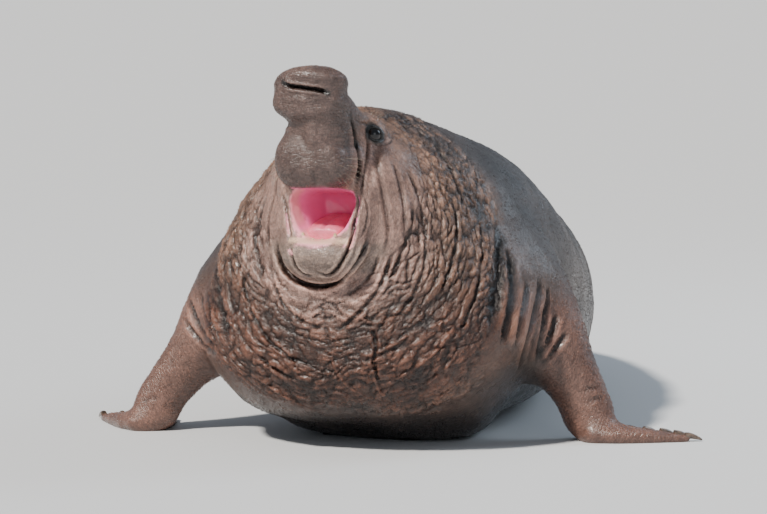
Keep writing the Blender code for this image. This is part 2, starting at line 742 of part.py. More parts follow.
def main():
    remove_everything()
    flesh = new_collection("elephant_seal")
    guides = new_collection("guides")
    block_out(flesh)
    body = fuse("body", list(flesh.objects), FUSE_VOXEL, flesh)
    soften(body.data, 50, lambda points: 0.9 - 0.75 * fineness(points))
    crease_skin(body.data)
    soften(body.data, 2, lambda points: np.full(len(points), 0.3))
    body = reduce_triangles(body, SKIN_TRIANGLES)
    floor = prism("floor", [(-2, -0.5), (2, -0.5), (2, 0.0), (-2, 0.0)], 1, (-2, 5), guides)
    body = cut_away(body, floor)
    body = carve_mouth(body, guides)
    body = carve_nostrils(body, guides)
    body = carve_eyes(body, guides)
    body = carve_ears(body, guides)
    nodes = part_animal(body, flesh, guides)
    for row in TEETH:
        for side in (1, -1):
            nodes["lower_jaw"] = cut_away(nodes["lower_jaw"], tooth(side, row, guides), "UNION")
    keep_largest(nodes["lower_jaw"])
    for side, name in SIDES:
        nodes[f"eye_{name}"] = eyeball(f"eye_{name}", side, EYE_RADIUS, flesh)
        hand = nodes[f"hand_{name}"]
        for shift, turn, length in DIGITS:
            hand = cut_away(hand, nail(side, shift, turn, length, guides), "UNION")
        keep_largest(hand)
        nodes[f"hand_{name}"] = hand
    for name, obj in nodes.items():
        look = SKIN
        if name.startswith(("hand", "arm", "hind")):
            look = FLIPPER_SKIN
        elif name.startswith("eye"):
            look = EYE_BLACK
        elif name == "tongue":
            look = TONGUE_PINK
        obj.data.materials.clear()
        obj.data.materials.append(material(name, *look))


main()
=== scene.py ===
# %% [markdown]
# # A bull elephant seal, roaring
#
# The animal lies on its chest with its foreflippers spread, throws its head up and opens its
# mouth. Its solids come from the frame, in metres, facing -Y, on the floor z = 0. This lesson
# lays one wrinkled wet skin over them, opens the eyes and the mouth, adds the short coat, the
# whiskers, nails and teeth, and lights the model on a pale floor.

import math

import bmesh
import bpy
import numpy as np
from mathutils import Matrix, Vector
from mathutils.bvhtree import BVHTree
from mathutils.kdtree import KDTree


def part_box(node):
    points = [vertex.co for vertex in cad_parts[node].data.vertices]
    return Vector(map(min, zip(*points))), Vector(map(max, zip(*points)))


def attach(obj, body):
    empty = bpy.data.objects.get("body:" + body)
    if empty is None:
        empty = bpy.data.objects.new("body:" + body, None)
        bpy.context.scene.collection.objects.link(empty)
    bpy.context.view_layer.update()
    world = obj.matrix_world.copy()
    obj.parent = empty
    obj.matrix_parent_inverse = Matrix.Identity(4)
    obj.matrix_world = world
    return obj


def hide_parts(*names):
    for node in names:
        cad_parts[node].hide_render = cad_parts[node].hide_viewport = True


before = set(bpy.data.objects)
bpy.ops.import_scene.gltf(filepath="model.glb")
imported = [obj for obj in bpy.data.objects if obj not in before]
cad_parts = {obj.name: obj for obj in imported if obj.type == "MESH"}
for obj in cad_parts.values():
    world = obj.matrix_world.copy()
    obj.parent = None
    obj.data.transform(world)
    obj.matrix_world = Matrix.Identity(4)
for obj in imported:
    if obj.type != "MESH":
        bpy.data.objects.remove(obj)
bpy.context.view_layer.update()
random = np.random.default_rng(6963)

# %% [markdown]
# ## Helpers for large meshes
#
# The skin has a few hundred thousand points, so it is shaped in numpy: the points are read
# into one array, moved together and written back.

# %% Mesh arrays
def read_points(mesh, kind="co"):
    values = np.empty(len(mesh.vertices) * 3, np.float32)
    mesh.vertices.foreach_get(kind, values)
    return values.reshape(-1, 3).astype(float)


def write_points(mesh, points):
    mesh.vertices.foreach_set("co", np.asarray(points, np.float32).ravel())
    mesh.update()


def read_triangles(mesh):
    mesh.calc_loop_triangles()
    corners = np.empty(len(mesh.loop_triangles) * 3, np.int32)
    mesh.loop_triangles.foreach_get("vertices", corners)
    return corners.reshape(-1, 3)


def add_object(name, mesh):
    made = bpy.data.objects.new(name, mesh)
    bpy.context.scene.collection.objects.link(made)
    return made


def evaluated(obj):
    """The mesh that obj's modifiers leave; obj is removed."""
    bpy.context.view_layer.update()
    graph = bpy.context.evaluated_depsgraph_get()
    mesh = bpy.data.meshes.new_from_object(obj.evaluated_get(graph))
    bpy.data.objects.remove(obj)
    return mesh


def ramp(values, start, end):
    """0 before start, 1 after end, and a smooth rise between them; end may be the lower one."""
    t = np.clip((values - start) / (end - start), 0, 1)
    return t * t * (3 - 2 * t)


# %% [markdown]
# ## The photographer's view
#
# The camera stands where the photographer did: low, far off with a long lens, and a little to
# the animal's left. It comes first, because the folds are drawn on the photograph, in pixels,
# and thrown from the camera onto the skin, where they then belong to the animal.

# %% Place the camera
CAMERA_TURN = math.radians(20)
CAMERA_RISE = math.radians(5)
CAMERA_AWAY = 14.0
METRES_PER_PIXEL = 0.004
PICTURE_MIDDLE = (383.5, 257.0)
ORIGIN_PIXEL = (395.0, 432.0)
FORWARD = Vector((
    -math.sin(CAMERA_TURN) * math.cos(CAMERA_RISE),
    math.cos(CAMERA_TURN) * math.cos(CAMERA_RISE),
    -math.sin(CAMERA_RISE),
))
RIGHT = Vector((math.cos(CAMERA_TURN), math.sin(CAMERA_TURN), 0))
UPWARD = RIGHT.cross(FORWARD)
AIM = RIGHT * (PICTURE_MIDDLE[0] - ORIGIN_PIXEL[0]) * METRES_PER_PIXEL
AIM += UPWARD * (ORIGIN_PIXEL[1] - PICTURE_MIDDLE[1]) * METRES_PER_PIXEL
camera_data = bpy.data.cameras.new("camera")
camera_data.sensor_width = 36
camera_data.lens = 36 * CAMERA_AWAY / (2 * PICTURE_MIDDLE[0] * METRES_PER_PIXEL)
camera_data.clip_end = 400
camera = add_object("camera", camera_data)
camera.location = AIM - FORWARD * CAMERA_AWAY
camera.rotation_euler = Matrix((RIGHT, UPWARD, -FORWARD)).transposed().to_euler()
bpy.context.scene.camera = camera


def sight(column, row):
    """The way from the camera through one pixel of the photograph."""
    across = (column - PICTURE_MIDDLE[0]) * METRES_PER_PIXEL
    down = (row - PICTURE_MIDDLE[1]) * METRES_PER_PIXEL
    return (FORWARD * CAMERA_AWAY + RIGHT * across - UPWARD * down).normalized()


print("camera at", tuple(round(v, 2) for v in camera.location), "lens", round(camera_data.lens), "mm")

# %% [markdown]
# ## Noise in numpy
#
# Hide is never even. Two kinds of noise shape it: one that wanders smoothly, and one that
# splits space into cells, whose borders become the cracks between the folds.

# %% Noise
def hashed(cell, seed):
    """One even random number from 0 to 1 for each row of whole numbers."""
    x, y, z = cell.astype(np.int64).T
    mixed = (x * 73856093) ^ (y * 19349663) ^ (z * 83492791) ^ (seed * 97531)
    mixed = ((mixed ^ (mixed >> 13)) * 1274126177) & 0x7FFFFFFF
    mixed ^= mixed >> 16
    return (mixed & 0xFFFFFF) / 0xFFFFFF


def wander(places, seed):
    """Smooth noise from -1 to 1 that changes over about one unit."""
    cell = np.floor(places)
    t = places - cell
    t = t * t * (3 - 2 * t)
    total = np.zeros(len(places))
    for corner in np.ndindex(2, 2, 2):
        share = np.prod(np.where(corner, t, 1 - t), axis=1)
        total += share * hashed(cell + corner, seed)
    return total * 2 - 1


def cell_borders(places, seed):
    """How far each place is from the border of its cell, 0 on it, and a random number per cell."""
    cell = np.floor(places)
    nearest = np.full(len(places), 9.0)
    second = np.full(len(places), 9.0)
    label = np.zeros(len(places))
    for step in np.ndindex(3, 3, 3):
        here = cell + np.array(step) - 1
        centre = here + np.stack([hashed(here, seed + k) for k in range(3)], axis=1)
        distance = np.linalg.norm(centre - places, axis=1)
        closer = distance < nearest
        second = np.where(closer, nearest, np.minimum(second, distance))
        nearest = np.where(closer, distance, nearest)
        label = np.where(closer, hashed(here, seed + 7), label)
    return second - nearest, label


# %% [markdown]
# ## One skin over the flesh
#
# The solids are parted by thin cuts, and a real animal shows none. Copies of the nodes of
# flesh are swollen by about half a millimetre, so that they overlap across the cuts, and a
# voxel remesh turns them into one closed skin of even squares, good clay for shaping. Copies
# of the eyeballs fill the sockets for now, and two balls close the pits of the nostrils.

# %% Remesh the flesh
FLESH = [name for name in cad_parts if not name.startswith(("eye", "tongue"))]
EYES = [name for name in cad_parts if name.startswith("eye")]
SKIN_VOXEL = 0.007
SWELL = 0.0006


def swollen_copy(name, swell):
    """A node's mesh with its loose triangles merged, and every point moved outward."""
    builder = bmesh.new()
    builder.from_mesh(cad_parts[name].data)
    bmesh.ops.remove_doubles(builder, verts=builder.verts, dist=1e-5)
    builder.normal_update()
    outward = [vert.normal.copy() for vert in builder.verts]
    for vert, normal in zip(builder.verts, outward):
        vert.co += normal * swell
    mesh = bpy.data.meshes.new(name + "_copy")
    builder.to_mesh(mesh)
    builder.free()
    return mesh


def remeshed(name, meshes, voxel):
    builder = bmesh.new()
    for mesh in meshes:
        builder.from_mesh(mesh)
    joined = bpy.data.meshes.new(name)
    builder.to_mesh(joined)
    builder.free()
    rough = add_object(name, joined)
    remesh = rough.modifiers.new("fuse", "REMESH")
    remesh.mode = "VOXEL"
    remesh.voxel_size = voxel
    return evaluated(rough)


def plug(place, radius):
    """A ball of clay that closes a pit of the solids, where the skin's own fold comes instead."""
    builder = bmesh.new()
    there = Matrix.Translation(place)
    bmesh.ops.create_icosphere(builder, subdivisions=3, radius=radius, matrix=there)
    mesh = bpy.data.meshes.new("plug")
    builder.to_mesh(mesh)
    builder.free()
    return mesh


NOSTRIL_PITS = ((-0.052, -0.950, 1.392), (0.020, -0.950, 1.392))
PLUG_RADIUS = 0.036
copies = [swollen_copy(name, SWELL) for name in FLESH]
copies += [swollen_copy(name, 2 * SWELL) for name in EYES]
copies += [plug(place, PLUG_RADIUS) for place in NOSTRIL_PITS]
skin_mesh = remeshed("skin", copies, SKIN_VOXEL)
print("skin starts with", len(skin_mesh.vertices), "points")

# %% [markdown]
# ## Round off the solids' flat facets
#
# The trunk's solids are plain, with facets a hand wide, while the head and hands are finer.
# So each point is smoothed by its own share: hard on the trunk, barely on the face.

# %% Smooth by region
FACE_BACK = -0.46
CHIN_HEIGHT = 0.60


def face_share(points):
    """1 on the face, jaw and muzzle, 0 on the body."""
    ahead = ramp(points[:, 1], FACE_BACK, FACE_BACK - 0.10)
    return ahead * ramp(points[:, 2], CHIN_HEIGHT, CHIN_HEIGHT + 0.08)


def paw_share(points):
    """1 on the hands and the hind flippers."""
    hands = ramp(points[:, 2], 0.13, 0.07) * ramp(np.abs(points[:, 0]), 0.64, 0.72) * (points[:, 1] < 0.8)
    feet = ramp(points[:, 1], 2.95, 3.15)
    return np.maximum(hands, feet)


def arm_share(points):
    """1 on the braced foreflippers below the shoulder."""
    return ramp(np.abs(points[:, 0]), 0.60, 0.74) * (points[:, 1] < 0.7) * ramp(points[:, 2], 0.62, 0.45)


def smoothed(mesh, weights, rounds):
    """The mesh relaxed for some rounds, each point by its own weight."""
    body = add_object("smoothing", mesh)
    group = body.vertex_groups.new(name="share")
    levels = np.round(weights, 2)
    for level in np.unique(levels):
        group.add(np.flatnonzero(levels == level).tolist(), float(level), "REPLACE")
    smooth = body.modifiers.new("smooth", "SMOOTH")
    smooth.factor = 0.9
    smooth.iterations = rounds
    smooth.vertex_group = "share"
    return evaluated(body)


before = read_points(skin_mesh)
finest = np.maximum(face_share(before), paw_share(before))
share = 1 - 0.95 * finest - 0.55 * arm_share(before) * (1 - finest)
ROUNDS_AT_SIX_MM = 190
rounds = int(ROUNDS_AT_SIX_MM * (0.006 / SKIN_VOXEL) ** 2)
skin_mesh = smoothed(skin_mesh, np.clip(share, 0.05, 1), rounds)
after = read_points(skin_mesh)
on_floor = before[:, 2] < 0.5 * SKIN_VOXEL
after[on_floor, 2] = 0.0
write_points(skin_mesh, after)
print("facets rounded in", rounds, "rounds, largest move", round(float(np.abs(after - before).max()), 3))

# %% [markdown]
# ## Finer clay where it counts
#
# The face and the cracked chest need smaller squares than the flank, and the rims of the eyes
# need the smallest. Each step splits the squares near a place once more.

# %% Refine the face, the chest and the eyes
def eye_centre(name):
    low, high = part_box(name)
    return (low + high) / 2


EYE_CENTRES = {name: eye_centre(name) for name in EYES}
EYE_RADIUS = (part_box("eye_left")[1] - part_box("eye_left")[0]).x / 2
CHIN = np.array((0.0, -0.82, 0.93))


def shield_share(points):
    """1 on the cracked shield of neck and chest, 0 on the face, the flanks and the belly."""
    reach = np.linalg.norm(points - CHIN, axis=1) + 0.03 * wander(points / 0.12, 3)
    edge = 0.83 + 0.38 * np.clip(points[:, 0], 0, 0.5) * ramp(points[:, 2], 0.45, 0.15)
    inner = 0.24 + 0.12 * ramp(points[:, 2], 0.85, 1.15)
    shield = ramp(reach, inner, inner + 0.16) * ramp(reach, edge + 0.03, edge - 0.08)
    nose = ramp(points[:, 1], -0.64, -0.74) * ramp(points[:, 2], 1.00, 1.06)
    return shield * (1 - nose) * ramp(points[:, 1], 0.25, -0.05) * ramp(np.abs(points[:, 0]), 0.66, 0.60)


def near_eyes(points):
    gaps = [np.linalg.norm(points - np.array(c), axis=1) for c in EYE_CENTRES.values()]
    return (np.min(gaps, axis=0) < 1.9 * EYE_RADIUS).astype(float)


def split_near(mesh, share_of):
    """Cuts each edge in two where the share is over a half."""
    builder = bmesh.new()
    builder.from_mesh(mesh)
    builder.verts.ensure_lookup_table()
    chosen = share_of(read_points(mesh)) > 0.5
    edges = [e for e in builder.edges if chosen[e.verts[0].index] and chosen[e.verts[1].index]]
    bmesh.ops.subdivide_edges(builder, edges=edges, cuts=1, use_grid_fill=True)
    builder.to_mesh(mesh)
    builder.free()
    mesh.update()


split_near(skin_mesh, lambda points: np.maximum(face_share(points), shield_share(points)))
split_near(skin_mesh, near_eyes)
print("skin now has", len(skin_mesh.vertices), "points; an eye is", round(2000 * EYE_RADIUS), "mm across")

# %% [markdown]
# ## Strokes
#
# A fold is pressed into the skin along a smooth line. Its places are read from the photograph
# and thrown onto the skin from the camera. Every point near the line sinks, most at the line
# itself, and the flesh pushed aside rises as a lip on each side. A fold marked for both sides
# is pressed into the other side too. The relief is kept for the colour: it paints shade into
# the cracks and highlight onto the lips.

# %% Press a fold
skin_points = read_points(skin_mesh)
relief = np.zeros(len(skin_points))
RELIEF_DEPTH = 0.008
MIRROR_PLANE = -0.010


def skin_normals():
    write_points(skin_mesh, skin_points)
    return read_points(skin_mesh, "normal")


def skin_tree():
    write_points(skin_mesh, skin_points)
    return BVHTree.FromPolygons(
        [Vector(p) for p in skin_points], [tuple(t) for t in read_triangles(skin_mesh)]
    )


def smooth_line(places, steps=6):
    """Points along a smooth curve through the places."""
    rows = np.array(places, float)
    ends = np.vstack([2 * rows[0] - rows[1], rows, 2 * rows[-1] - rows[-2]])
    out = []
    for a, b, c, d in zip(ends, ends[1:], ends[2:], ends[3:]):
        for t in np.arange(steps) / steps:
            out.append(0.5 * (2 * b + (c - a) * t + (2 * a - 5 * b + 4 * c - d) * t**2
                              + (3 * b - a - 3 * c + d) * t**3))
    return np.array([*out, rows[-1]])


def thrown(tree, pixels):
    """The places on the skin that a smooth line through the pixels covers."""
    hits = [tree.ray_cast(camera.location, sight(column, row))[0] for column, row in smooth_line(pixels)]
    return np.array([hit for hit in hits if hit is not None])


def mirrored(tree, line):
    """The line's twin on the animal's other side."""
    twins = line * (-1, 1, 1) + (2 * MIRROR_PLANE, 0, 0)
    return np.array([tree.find_nearest(Vector(p))[0] for p in twins])


def press(normals, line, width, depth, lip=0.25, fade=0.18):
    """Presses one fold, width across and depth deep; a negative depth raises a ridge."""
    reach = 4 * width
    inside = np.all((skin_points > line.min(0) - reach) & (skin_points < line.max(0) + reach), axis=1)
    local = skin_points[inside]
    gap = np.full(len(local), 9.0)
    along = np.zeros(len(local))
    lengths = np.concatenate([[0], np.cumsum(np.linalg.norm(np.diff(line, axis=0), axis=1))])
    lengths /= lengths[-1]
    for a, b, start, end in zip(line, line[1:], lengths, lengths[1:]):
        way = b - a
        t = np.clip((local - a) @ way / max(way @ way, 1e-12), 0, 1)
        distance = np.linalg.norm(local - a - t[:, None] * way, axis=1)
        closer = distance < gap
        gap[closer] = distance[closer]
        along[closer] = start + t[closer] * (end - start)
    ends = ramp(along, 0, fade) * ramp(along, 1, 1 - fade)
    height = -np.exp(-((gap / width) ** 2)) + lip * np.exp(-(((gap - 2.1 * width) / width) ** 2))
    height *= depth * ends
    skin_points[inside] += normals[inside] * height[:, None]
    relief[inside] += height / RELIEF_DEPTH


def swell(normals, centre, radii, height):
    """Swells the skin round a place, or hollows it with a negative height."""
    gap = np.linalg.norm((skin_points - centre) / radii, axis=1)
    skin_points[:] += normals * (height * np.exp(-(gap**2)))[:, None]


# %% [markdown]
# ## The face
#
# The nose hangs over its slit-like nostrils in two lobes, and its neck widens at once into
# the square muzzle. First the large forms swell or sink, each round one pixel of the photo.

# %% Shape the nose, muzzle and brow
# Each form: its pixel, its radii, how far it swells, and whether the other side swells too.
FACE_FORMS = (
    ((316, 105), (0.050, 0.050, 0.022), -0.010, True),
    ((308, 75), (0.110, 0.060, 0.026), 0.012, False),
    ((300, 172), (0.055, 0.070, 0.045), 0.012, False),
    ((337, 170), (0.050, 0.070, 0.045), 0.012, False),
    ((366, 118), (0.050, 0.060, 0.022), 0.014, True),
    ((292, 131), (0.060, 0.070, 0.026), 0.020, True),
    ((318, 258), (0.100, 0.060, 0.040), 0.012, False),
)
tree = skin_tree()
centres = [thrown(tree, [pixel, pixel])[0] for pixel, radii, height, both in FACE_FORMS]
for centre, (pixel, radii, height, both) in zip(centres, FACE_FORMS):
    swell(skin_normals(), centre, radii, height)
    if both:
        swell(skin_normals(), mirrored(tree, centre[None])[0], radii, height)
print("face forms swollen:", len(FACE_FORMS))

# %% [markdown]
# Between the bulb of the nose and the muzzle the solids have a waist. It is filled forward to
# a gently rounded face, so that the muzzle runs up into the nose as one block.

# %% Fill the waist of the nose
BRIDGE_FRONT = -0.954
BRIDGE_MIDDLE = 0.015


def fill_waist():
    x, y, z = skin_points.T
    front = BRIDGE_FRONT + 2.2 * np.abs(x - BRIDGE_MIDDLE) ** 1.5
    share = ramp(z, 1.170, 1.215) * ramp(z, 1.345, 1.300) * ramp(y, -0.78, -0.84)
    share *= ramp(np.abs(x - BRIDGE_MIDDLE), 0.125, 0.095) * ramp(x, -0.100, -0.045)
    gap = y - front
    soft = 0.5 * (gap + np.sqrt(gap**2 + 0.006**2))
    skin_points[:, 1] -= share * soft


fill_waist()

# %% [markdown]
# Then the folds. A deep wet one runs down between the muzzle and the cheek to a pit below the
# eye, and the dropped jaw gathers the chin and throat in rings like a collar. A row names the
# fold's pixels, its width and depth, the lip's share of that depth, and whether both sides
# have it.

# %% Fold the face
NOSTRIL_SLIT = [(283, 82.5), (287, 85), (292, 86.5), (302.5, 87.6), (310, 88.8), (319, 90.2), (328, 93)]
MUZZLE_FOLD = [(350.5, 116), (353, 126), (355.5, 136), (357, 146), (358.5, 156), (359, 168), (357.5, 182)]
CHEEK_CORD = [(363.5, 131), (367.5, 143), (367, 155), (365, 168), (362.5, 182), (361, 196)]
FACE_FOLDS = (
    (NOSTRIL_SLIT, 0.0065, 0.026, 0.25, False),
    (MUZZLE_FOLD, 0.0085, 0.026, 0.10, True),
    (CHEEK_CORD, 0.0055, 0.007, 0.30, True),
    ([(354, 119), (362, 123.5), (372, 122.5), (384, 126)], 0.0050, 0.004, 0.3, True),
    ([(371, 144.5), (379, 145.5), (388, 144), (394, 140)], 0.0045, 0.004, 0.3, True),
    ([(312, 168), (315, 177), (314, 188)], 0.0080, 0.003, 0.2, False),
    ([(281, 190), (285.5, 205), (288, 221), (291, 240)], 0.0060, 0.007, 0.3, False),
    ([(356, 190), (358.5, 203), (355, 220), (348, 238)], 0.0060, 0.007, 0.3, False),
    ([(364, 195), (368, 210), (366, 226), (360, 240)], 0.0050, 0.004, 0.3, True),
)
CHIN_FOLDS = (
    ([(276, 238), (278, 252), (283, 266), (291, 276), (302.5, 283), (319, 286.3), (333, 283.5), (346, 275),
      (357, 262), (366, 246), (370, 232)], 0.0095, 0.024, 0.30, False),
    ([(290, 246), (292.5, 257), (297, 268), (304.8, 274.5), (313, 276)], 0.0065, 0.013, 0.30, False),
    ([(314, 272.5), (328, 275), (335.5, 270.5), (342.4, 261.3), (349, 248), (353.5, 232), (356, 214)],
     0.0065, 0.015, 0.30, False),
    ([(336, 265), (341, 257), (344, 250)], 0.0045, 0.006, 0.3, False),
    ([(270, 250), (273, 268), (281, 284), (293, 294), (308, 299)], 0.0060, 0.005, 0.3, False),
    ([(330, 300), (346, 295), (362, 284), (374, 268), (380, 250)], 0.0060, 0.005, 0.3, False),
    ([(262, 196), (256, 214), (255, 240), (259, 264), (266, 282)], 0.0085, 0.006, 0.3, True),
    ([(374, 150), (379, 175), (385, 205), (388, 236), (381, 262)], 0.0085, 0.005, 0.3, True),
    ([(392, 158), (400, 185), (405, 215), (405, 245)], 0.0085, 0.006, 0.3, True),
    ([(311, 316), (326, 318), (342, 314)], 0.0060, 0.006, 0.3, False),
)


def press_all(folds):
    tree = skin_tree()
    normals = skin_normals()
    lines = [(thrown(tree, pixels), *rest) for pixels, *rest in folds]
    for line, width, depth, lip, both in lines:
        press(normals, line, width, depth, lip)
        if both:
            press(normals, mirrored(tree, line), width, depth, lip)
    return [line for line, *rest in lines]


fold_lines = press_all(FACE_FOLDS)
nostril_line, muzzle_line = fold_lines[0], fold_lines[1]
tree = skin_tree()
tear_pit = thrown(tree, [(356.5, 145), (356.5, 145)])[0]
for pit in (tear_pit, mirrored(tree, tear_pit[None])[0]):
    swell(skin_normals(), pit, (0.014, 0.030, 0.018), -0.014)
press_all(CHIN_FOLDS)
print("face folded, deepest relief", round(float(relief.min()), 2))

# %% [markdown]
# ## The folds of the armpits
#
# With the arm braced outward the skin of the shoulder hangs in a fan of long folds that all
# run down into the armpit.

# %% Fan the shoulder folds
SHOULDER_FOLDS = (
    ([(509, 245), (511, 270), (512, 293), (507, 325), (500, 345)], 0.017, 0.022, 0.40, False),
    ([(528, 280), (524, 300), (519, 319), (515, 349)], 0.014, 0.022, 0.45, False),
    ([(541, 276), (536, 300), (531, 322), (523, 350), (520, 370)], 0.014, 0.022, 0.45, False),
    ([(547, 286), (544, 312), (540, 340), (536, 364)], 0.012, 0.018, 0.45, False),
    ([(558, 312), (553, 327), (546, 343), (538, 364)], 0.011, 0.015, 0.45, False),
    ([(568, 331), (558, 345), (549, 356), (540, 367)], 0.010, 0.012, 0.45, False),
    ([(189, 297), (193, 310), (200, 326), (216, 350)], 0.011, 0.013, 0.45, False),
    ([(200, 291), (204, 308), (209, 325), (220, 350)], 0.011, 0.014, 0.45, False),
    ([(207, 290), (209, 305), (213, 322), (223, 351)], 0.011, 0.014, 0.45, False),
    ([(184, 316), (191, 329), (200, 340), (217, 355)], 0.010, 0.011, 0.45, False),
    ([(498, 220), (500, 255), (497, 290), (489, 330)], 0.024, 0.014, 0.20, False),
    ([(216, 262), (217, 285), (222, 312), (231, 345)], 0.022, 0.014, 0.20, False),
    ([(586, 402), (594, 399), (603, 398)], 0.008, 0.004, 0.3, False),
    ([(582, 392), (590, 388), (600, 388)], 0.008, 0.004, 0.3, False),
    ([(142, 402), (151, 398), (160, 398)], 0.008, 0.004, 0.3, False),
)
press_all(SHOULDER_FOLDS)
print("shoulders folded:", len(SHOULDER_FOLDS))

# %% [markdown]
# ## The wrinkled shield of the chest
#
# An old bull's neck and chest are a shield of thick, cracked hide. The cracks ring the chin,
# so the noise is read in a space that is squeezed along the distance from the chin: its cells
# come out as narrow pads that curve under the throat. Noise that wanders bends them, and two
# sizes of cells, one across the other, keep the pads from looking laid like bricks.

# %% Crack the hide
def flow_of(points):
    """Distance from the chin, then x and z: the space in which the folds run."""
    return np.stack([np.linalg.norm(points - CHIN, axis=1), points[:, 0], points[:, 2]], axis=1)


def bent(points, size, amount, seed):
    """The points pushed about by noise that wanders over the given size."""
    push = np.stack([wander(points / size, seed + k) for k in range(3)], axis=1)
    return points + amount * push


def cracked(points, thin, long, seed, sharp):
    """Heights from -1 in the cracks to about 0.5 on the pads between them."""
    flow = flow_of(bent(bent(points, 0.11, 0.030, seed + 11), 0.035, 0.007, seed + 15))
    border, label = cell_borders(flow / (thin, long, long), seed)
    return -np.exp(-((border / sharp) ** 2)) + 0.5 * ramp(border, 0, 0.5) * (0.5 + label)


shield = shield_share(skin_points)
chosen = np.flatnonzero(shield > 0.01)
pads = skin_points[chosen]
fade = 0.55 + 0.45 * wander(pads / 0.18, 5)
height = 0.0062 * cracked(pads, 0.034, 0.085, 21, 0.16) * (1.15 - fade * 0.5)
height += 0.0044 * cracked(pads, 0.019, 0.045, 31, 0.22) * (0.4 + 0.6 * fade)
ridges = 1 - np.abs(wander(flow_of(bent(pads, 0.09, 0.03, 71)) / (0.020, 0.11, 0.11), 73))
height += 0.0060 * (ridges**7) * ramp(pads[:, 2], 0.62, 0.36)
height += 0.0050 * wander(flow_of(bent(pads, 0.2, 0.04, 41)) / (0.05, 0.16, 0.16), 9)
height *= shield[chosen]
normals = skin_normals()
skin_points[chosen] += normals[chosen] * height[:, None]
relief[chosen] += height / RELIEF_DEPTH
print("shield covers", len(chosen), "points, heights", height.min().round(4), "to", height.max().round(4))

# %% [markdown]
# Among the many small cracks the eye knows a few long ones: creases that drop from the cheek,
# and sharp ridges low on the chest, where the hide is pulled tight. These are strokes again,
# the ridges with a negative depth.

# %% Draw the long creases and ridges
CHEST_FOLDS = (
    ([(425, 225), (426, 248), (424, 268), (417, 288), (407, 304), (396, 318)], 0.0075, 0.010, 0.4, False),
    ([(394, 250), (386, 272), (376, 293), (360, 312), (344, 326), (330, 334)], 0.0075, 0.009, 0.4, False),
    ([(450, 190), (456, 220), (455, 250), (447, 276), (436, 300)], 0.0080, 0.009, 0.4, False),
    ([(478, 215), (482, 250), (478, 285), (468, 315), (455, 338)], 0.0080, 0.008, 0.4, False),
    ([(408, 170), (418, 195), (424, 222)], 0.0080, 0.007, 0.4, False),
    ([(432, 140), (448, 165), (459, 192), (466, 218)], 0.0085, 0.008, 0.4, False),
    ([(242, 262), (248, 300), (264, 334), (288, 356), (311, 367)], 0.0075, 0.010, 0.4, False),
    ([(232, 315), (246, 344), (272, 366), (300, 382)], 0.0075, 0.008, 0.4, False),
    ([(268, 252), (274, 284), (288, 310), (308, 324), (331, 330)], 0.0070, 0.008, 0.4, False),
    ([(372, 327), (376, 345), (374, 362), (378, 383)], 0.0065, 0.009, 0.4, False),
    ([(362, 357), (378, 352), (396, 343), (414, 331)], 0.0055, -0.008, 0.3, False),
    ([(358, 314), (368, 322), (382, 322), (396, 316)], 0.0055, -0.006, 0.3, False),
    ([(262, 381), (280, 393), (300, 404), (324, 413)], 0.0050, -0.007, 0.3, False),
    ([(280, 345), (298, 362), (320, 372), (338, 374)], 0.0050, -0.006, 0.3, False),
    ([(384, 384), (410, 371), (436, 351), (456, 325)], 0.0055, -0.007, 0.3, False),
    ([(409, 392), (430, 381), (449, 364), (462, 343)], 0.0050, -0.006, 0.3, False),
    ([(408, 414), (434, 401), (458, 382), (470, 366)], 0.0050, -0.006, 0.3, False),
    ([(376, 352), (374, 370), (378, 388), (386, 398)], 0.0050, -0.006, 0.3, False),
    ([(330, 352), (337, 372), (350, 388), (368, 396)], 0.0050, -0.005, 0.3, False),
)
press_all(CHEST_FOLDS)
print("long creases and ridges:", len(CHEST_FOLDS))

# %% [markdown]
# The rest of the body is smooth, tight over blubber, with faint rings where it bends: across
# the nape, round the flanks before the hips, and along the tail. A little unevenness
# everywhere keeps the light from sliding over it as over a balloon.

# %% Soften and age the rest
normals = skin_normals()
x, y, z = skin_points.T
face = face_share(skin_points)
body = (1 - shield_share(skin_points)) * (1 - face) * ramp(z, 0.0, 0.06)
rings = np.stack([y / 0.055, x / 0.5, z / 0.5], axis=1)
nape = ramp(y, -0.50, -0.35) * ramp(y, 0.45, 0.05) * ramp(z, 0.7, 0.95)
hips = ramp(y, 2.1, 2.6) * ramp(y, 3.2, 2.95)
height = 0.006 * wander(rings, 15) * (0.15 + nape + 0.8 * hips)
height += 0.0035 * wander(skin_points / 0.16, 16) + 0.0012 * wander(skin_points / 0.035, 17)
height *= body
pores = face * 0.0010 * wander(skin_points / 0.018, 18)
height += pores + face * 0.0020 * wander(skin_points / 0.06, 19)
skin_points += normals * height[:, None]
relief += height / RELIEF_DEPTH
print("body aged")

# %% [markdown]
# ## Eyelids
#
# The skin so far bulges over each eyeball. Seen from the eyeball's centre, every point near
# the eye is set to a chosen distance: behind the ball's surface inside the almond of the open
# lids, just in front of it on the rims, and fading into the face beyond them.

# %% Open the lids
EYE_AXIS = Vector((0.66, -0.72, 0.22)).normalized()
LID_HALF = (0.033, 0.0245)
LID_DROOP = 34
LID_EDGE = 0.0048
BEHIND_BALL = 0.010


def eye_axes(side):
    """The eye's own axes as rows: towards its outer corner, up, and outward."""
    out = Vector((side * EYE_AXIS.x, EYE_AXIS.y, EYE_AXIS.z))
    up = (Vector((0, 0, 1)) - out * out.z).normalized()
    corner = up.cross(out) * side
    droop = math.radians(LID_DROOP)
    long = corner * math.cos(droop) - up * math.sin(droop)
    high = corner * math.sin(droop) + up * math.cos(droop)
    return np.array([long, high, out])


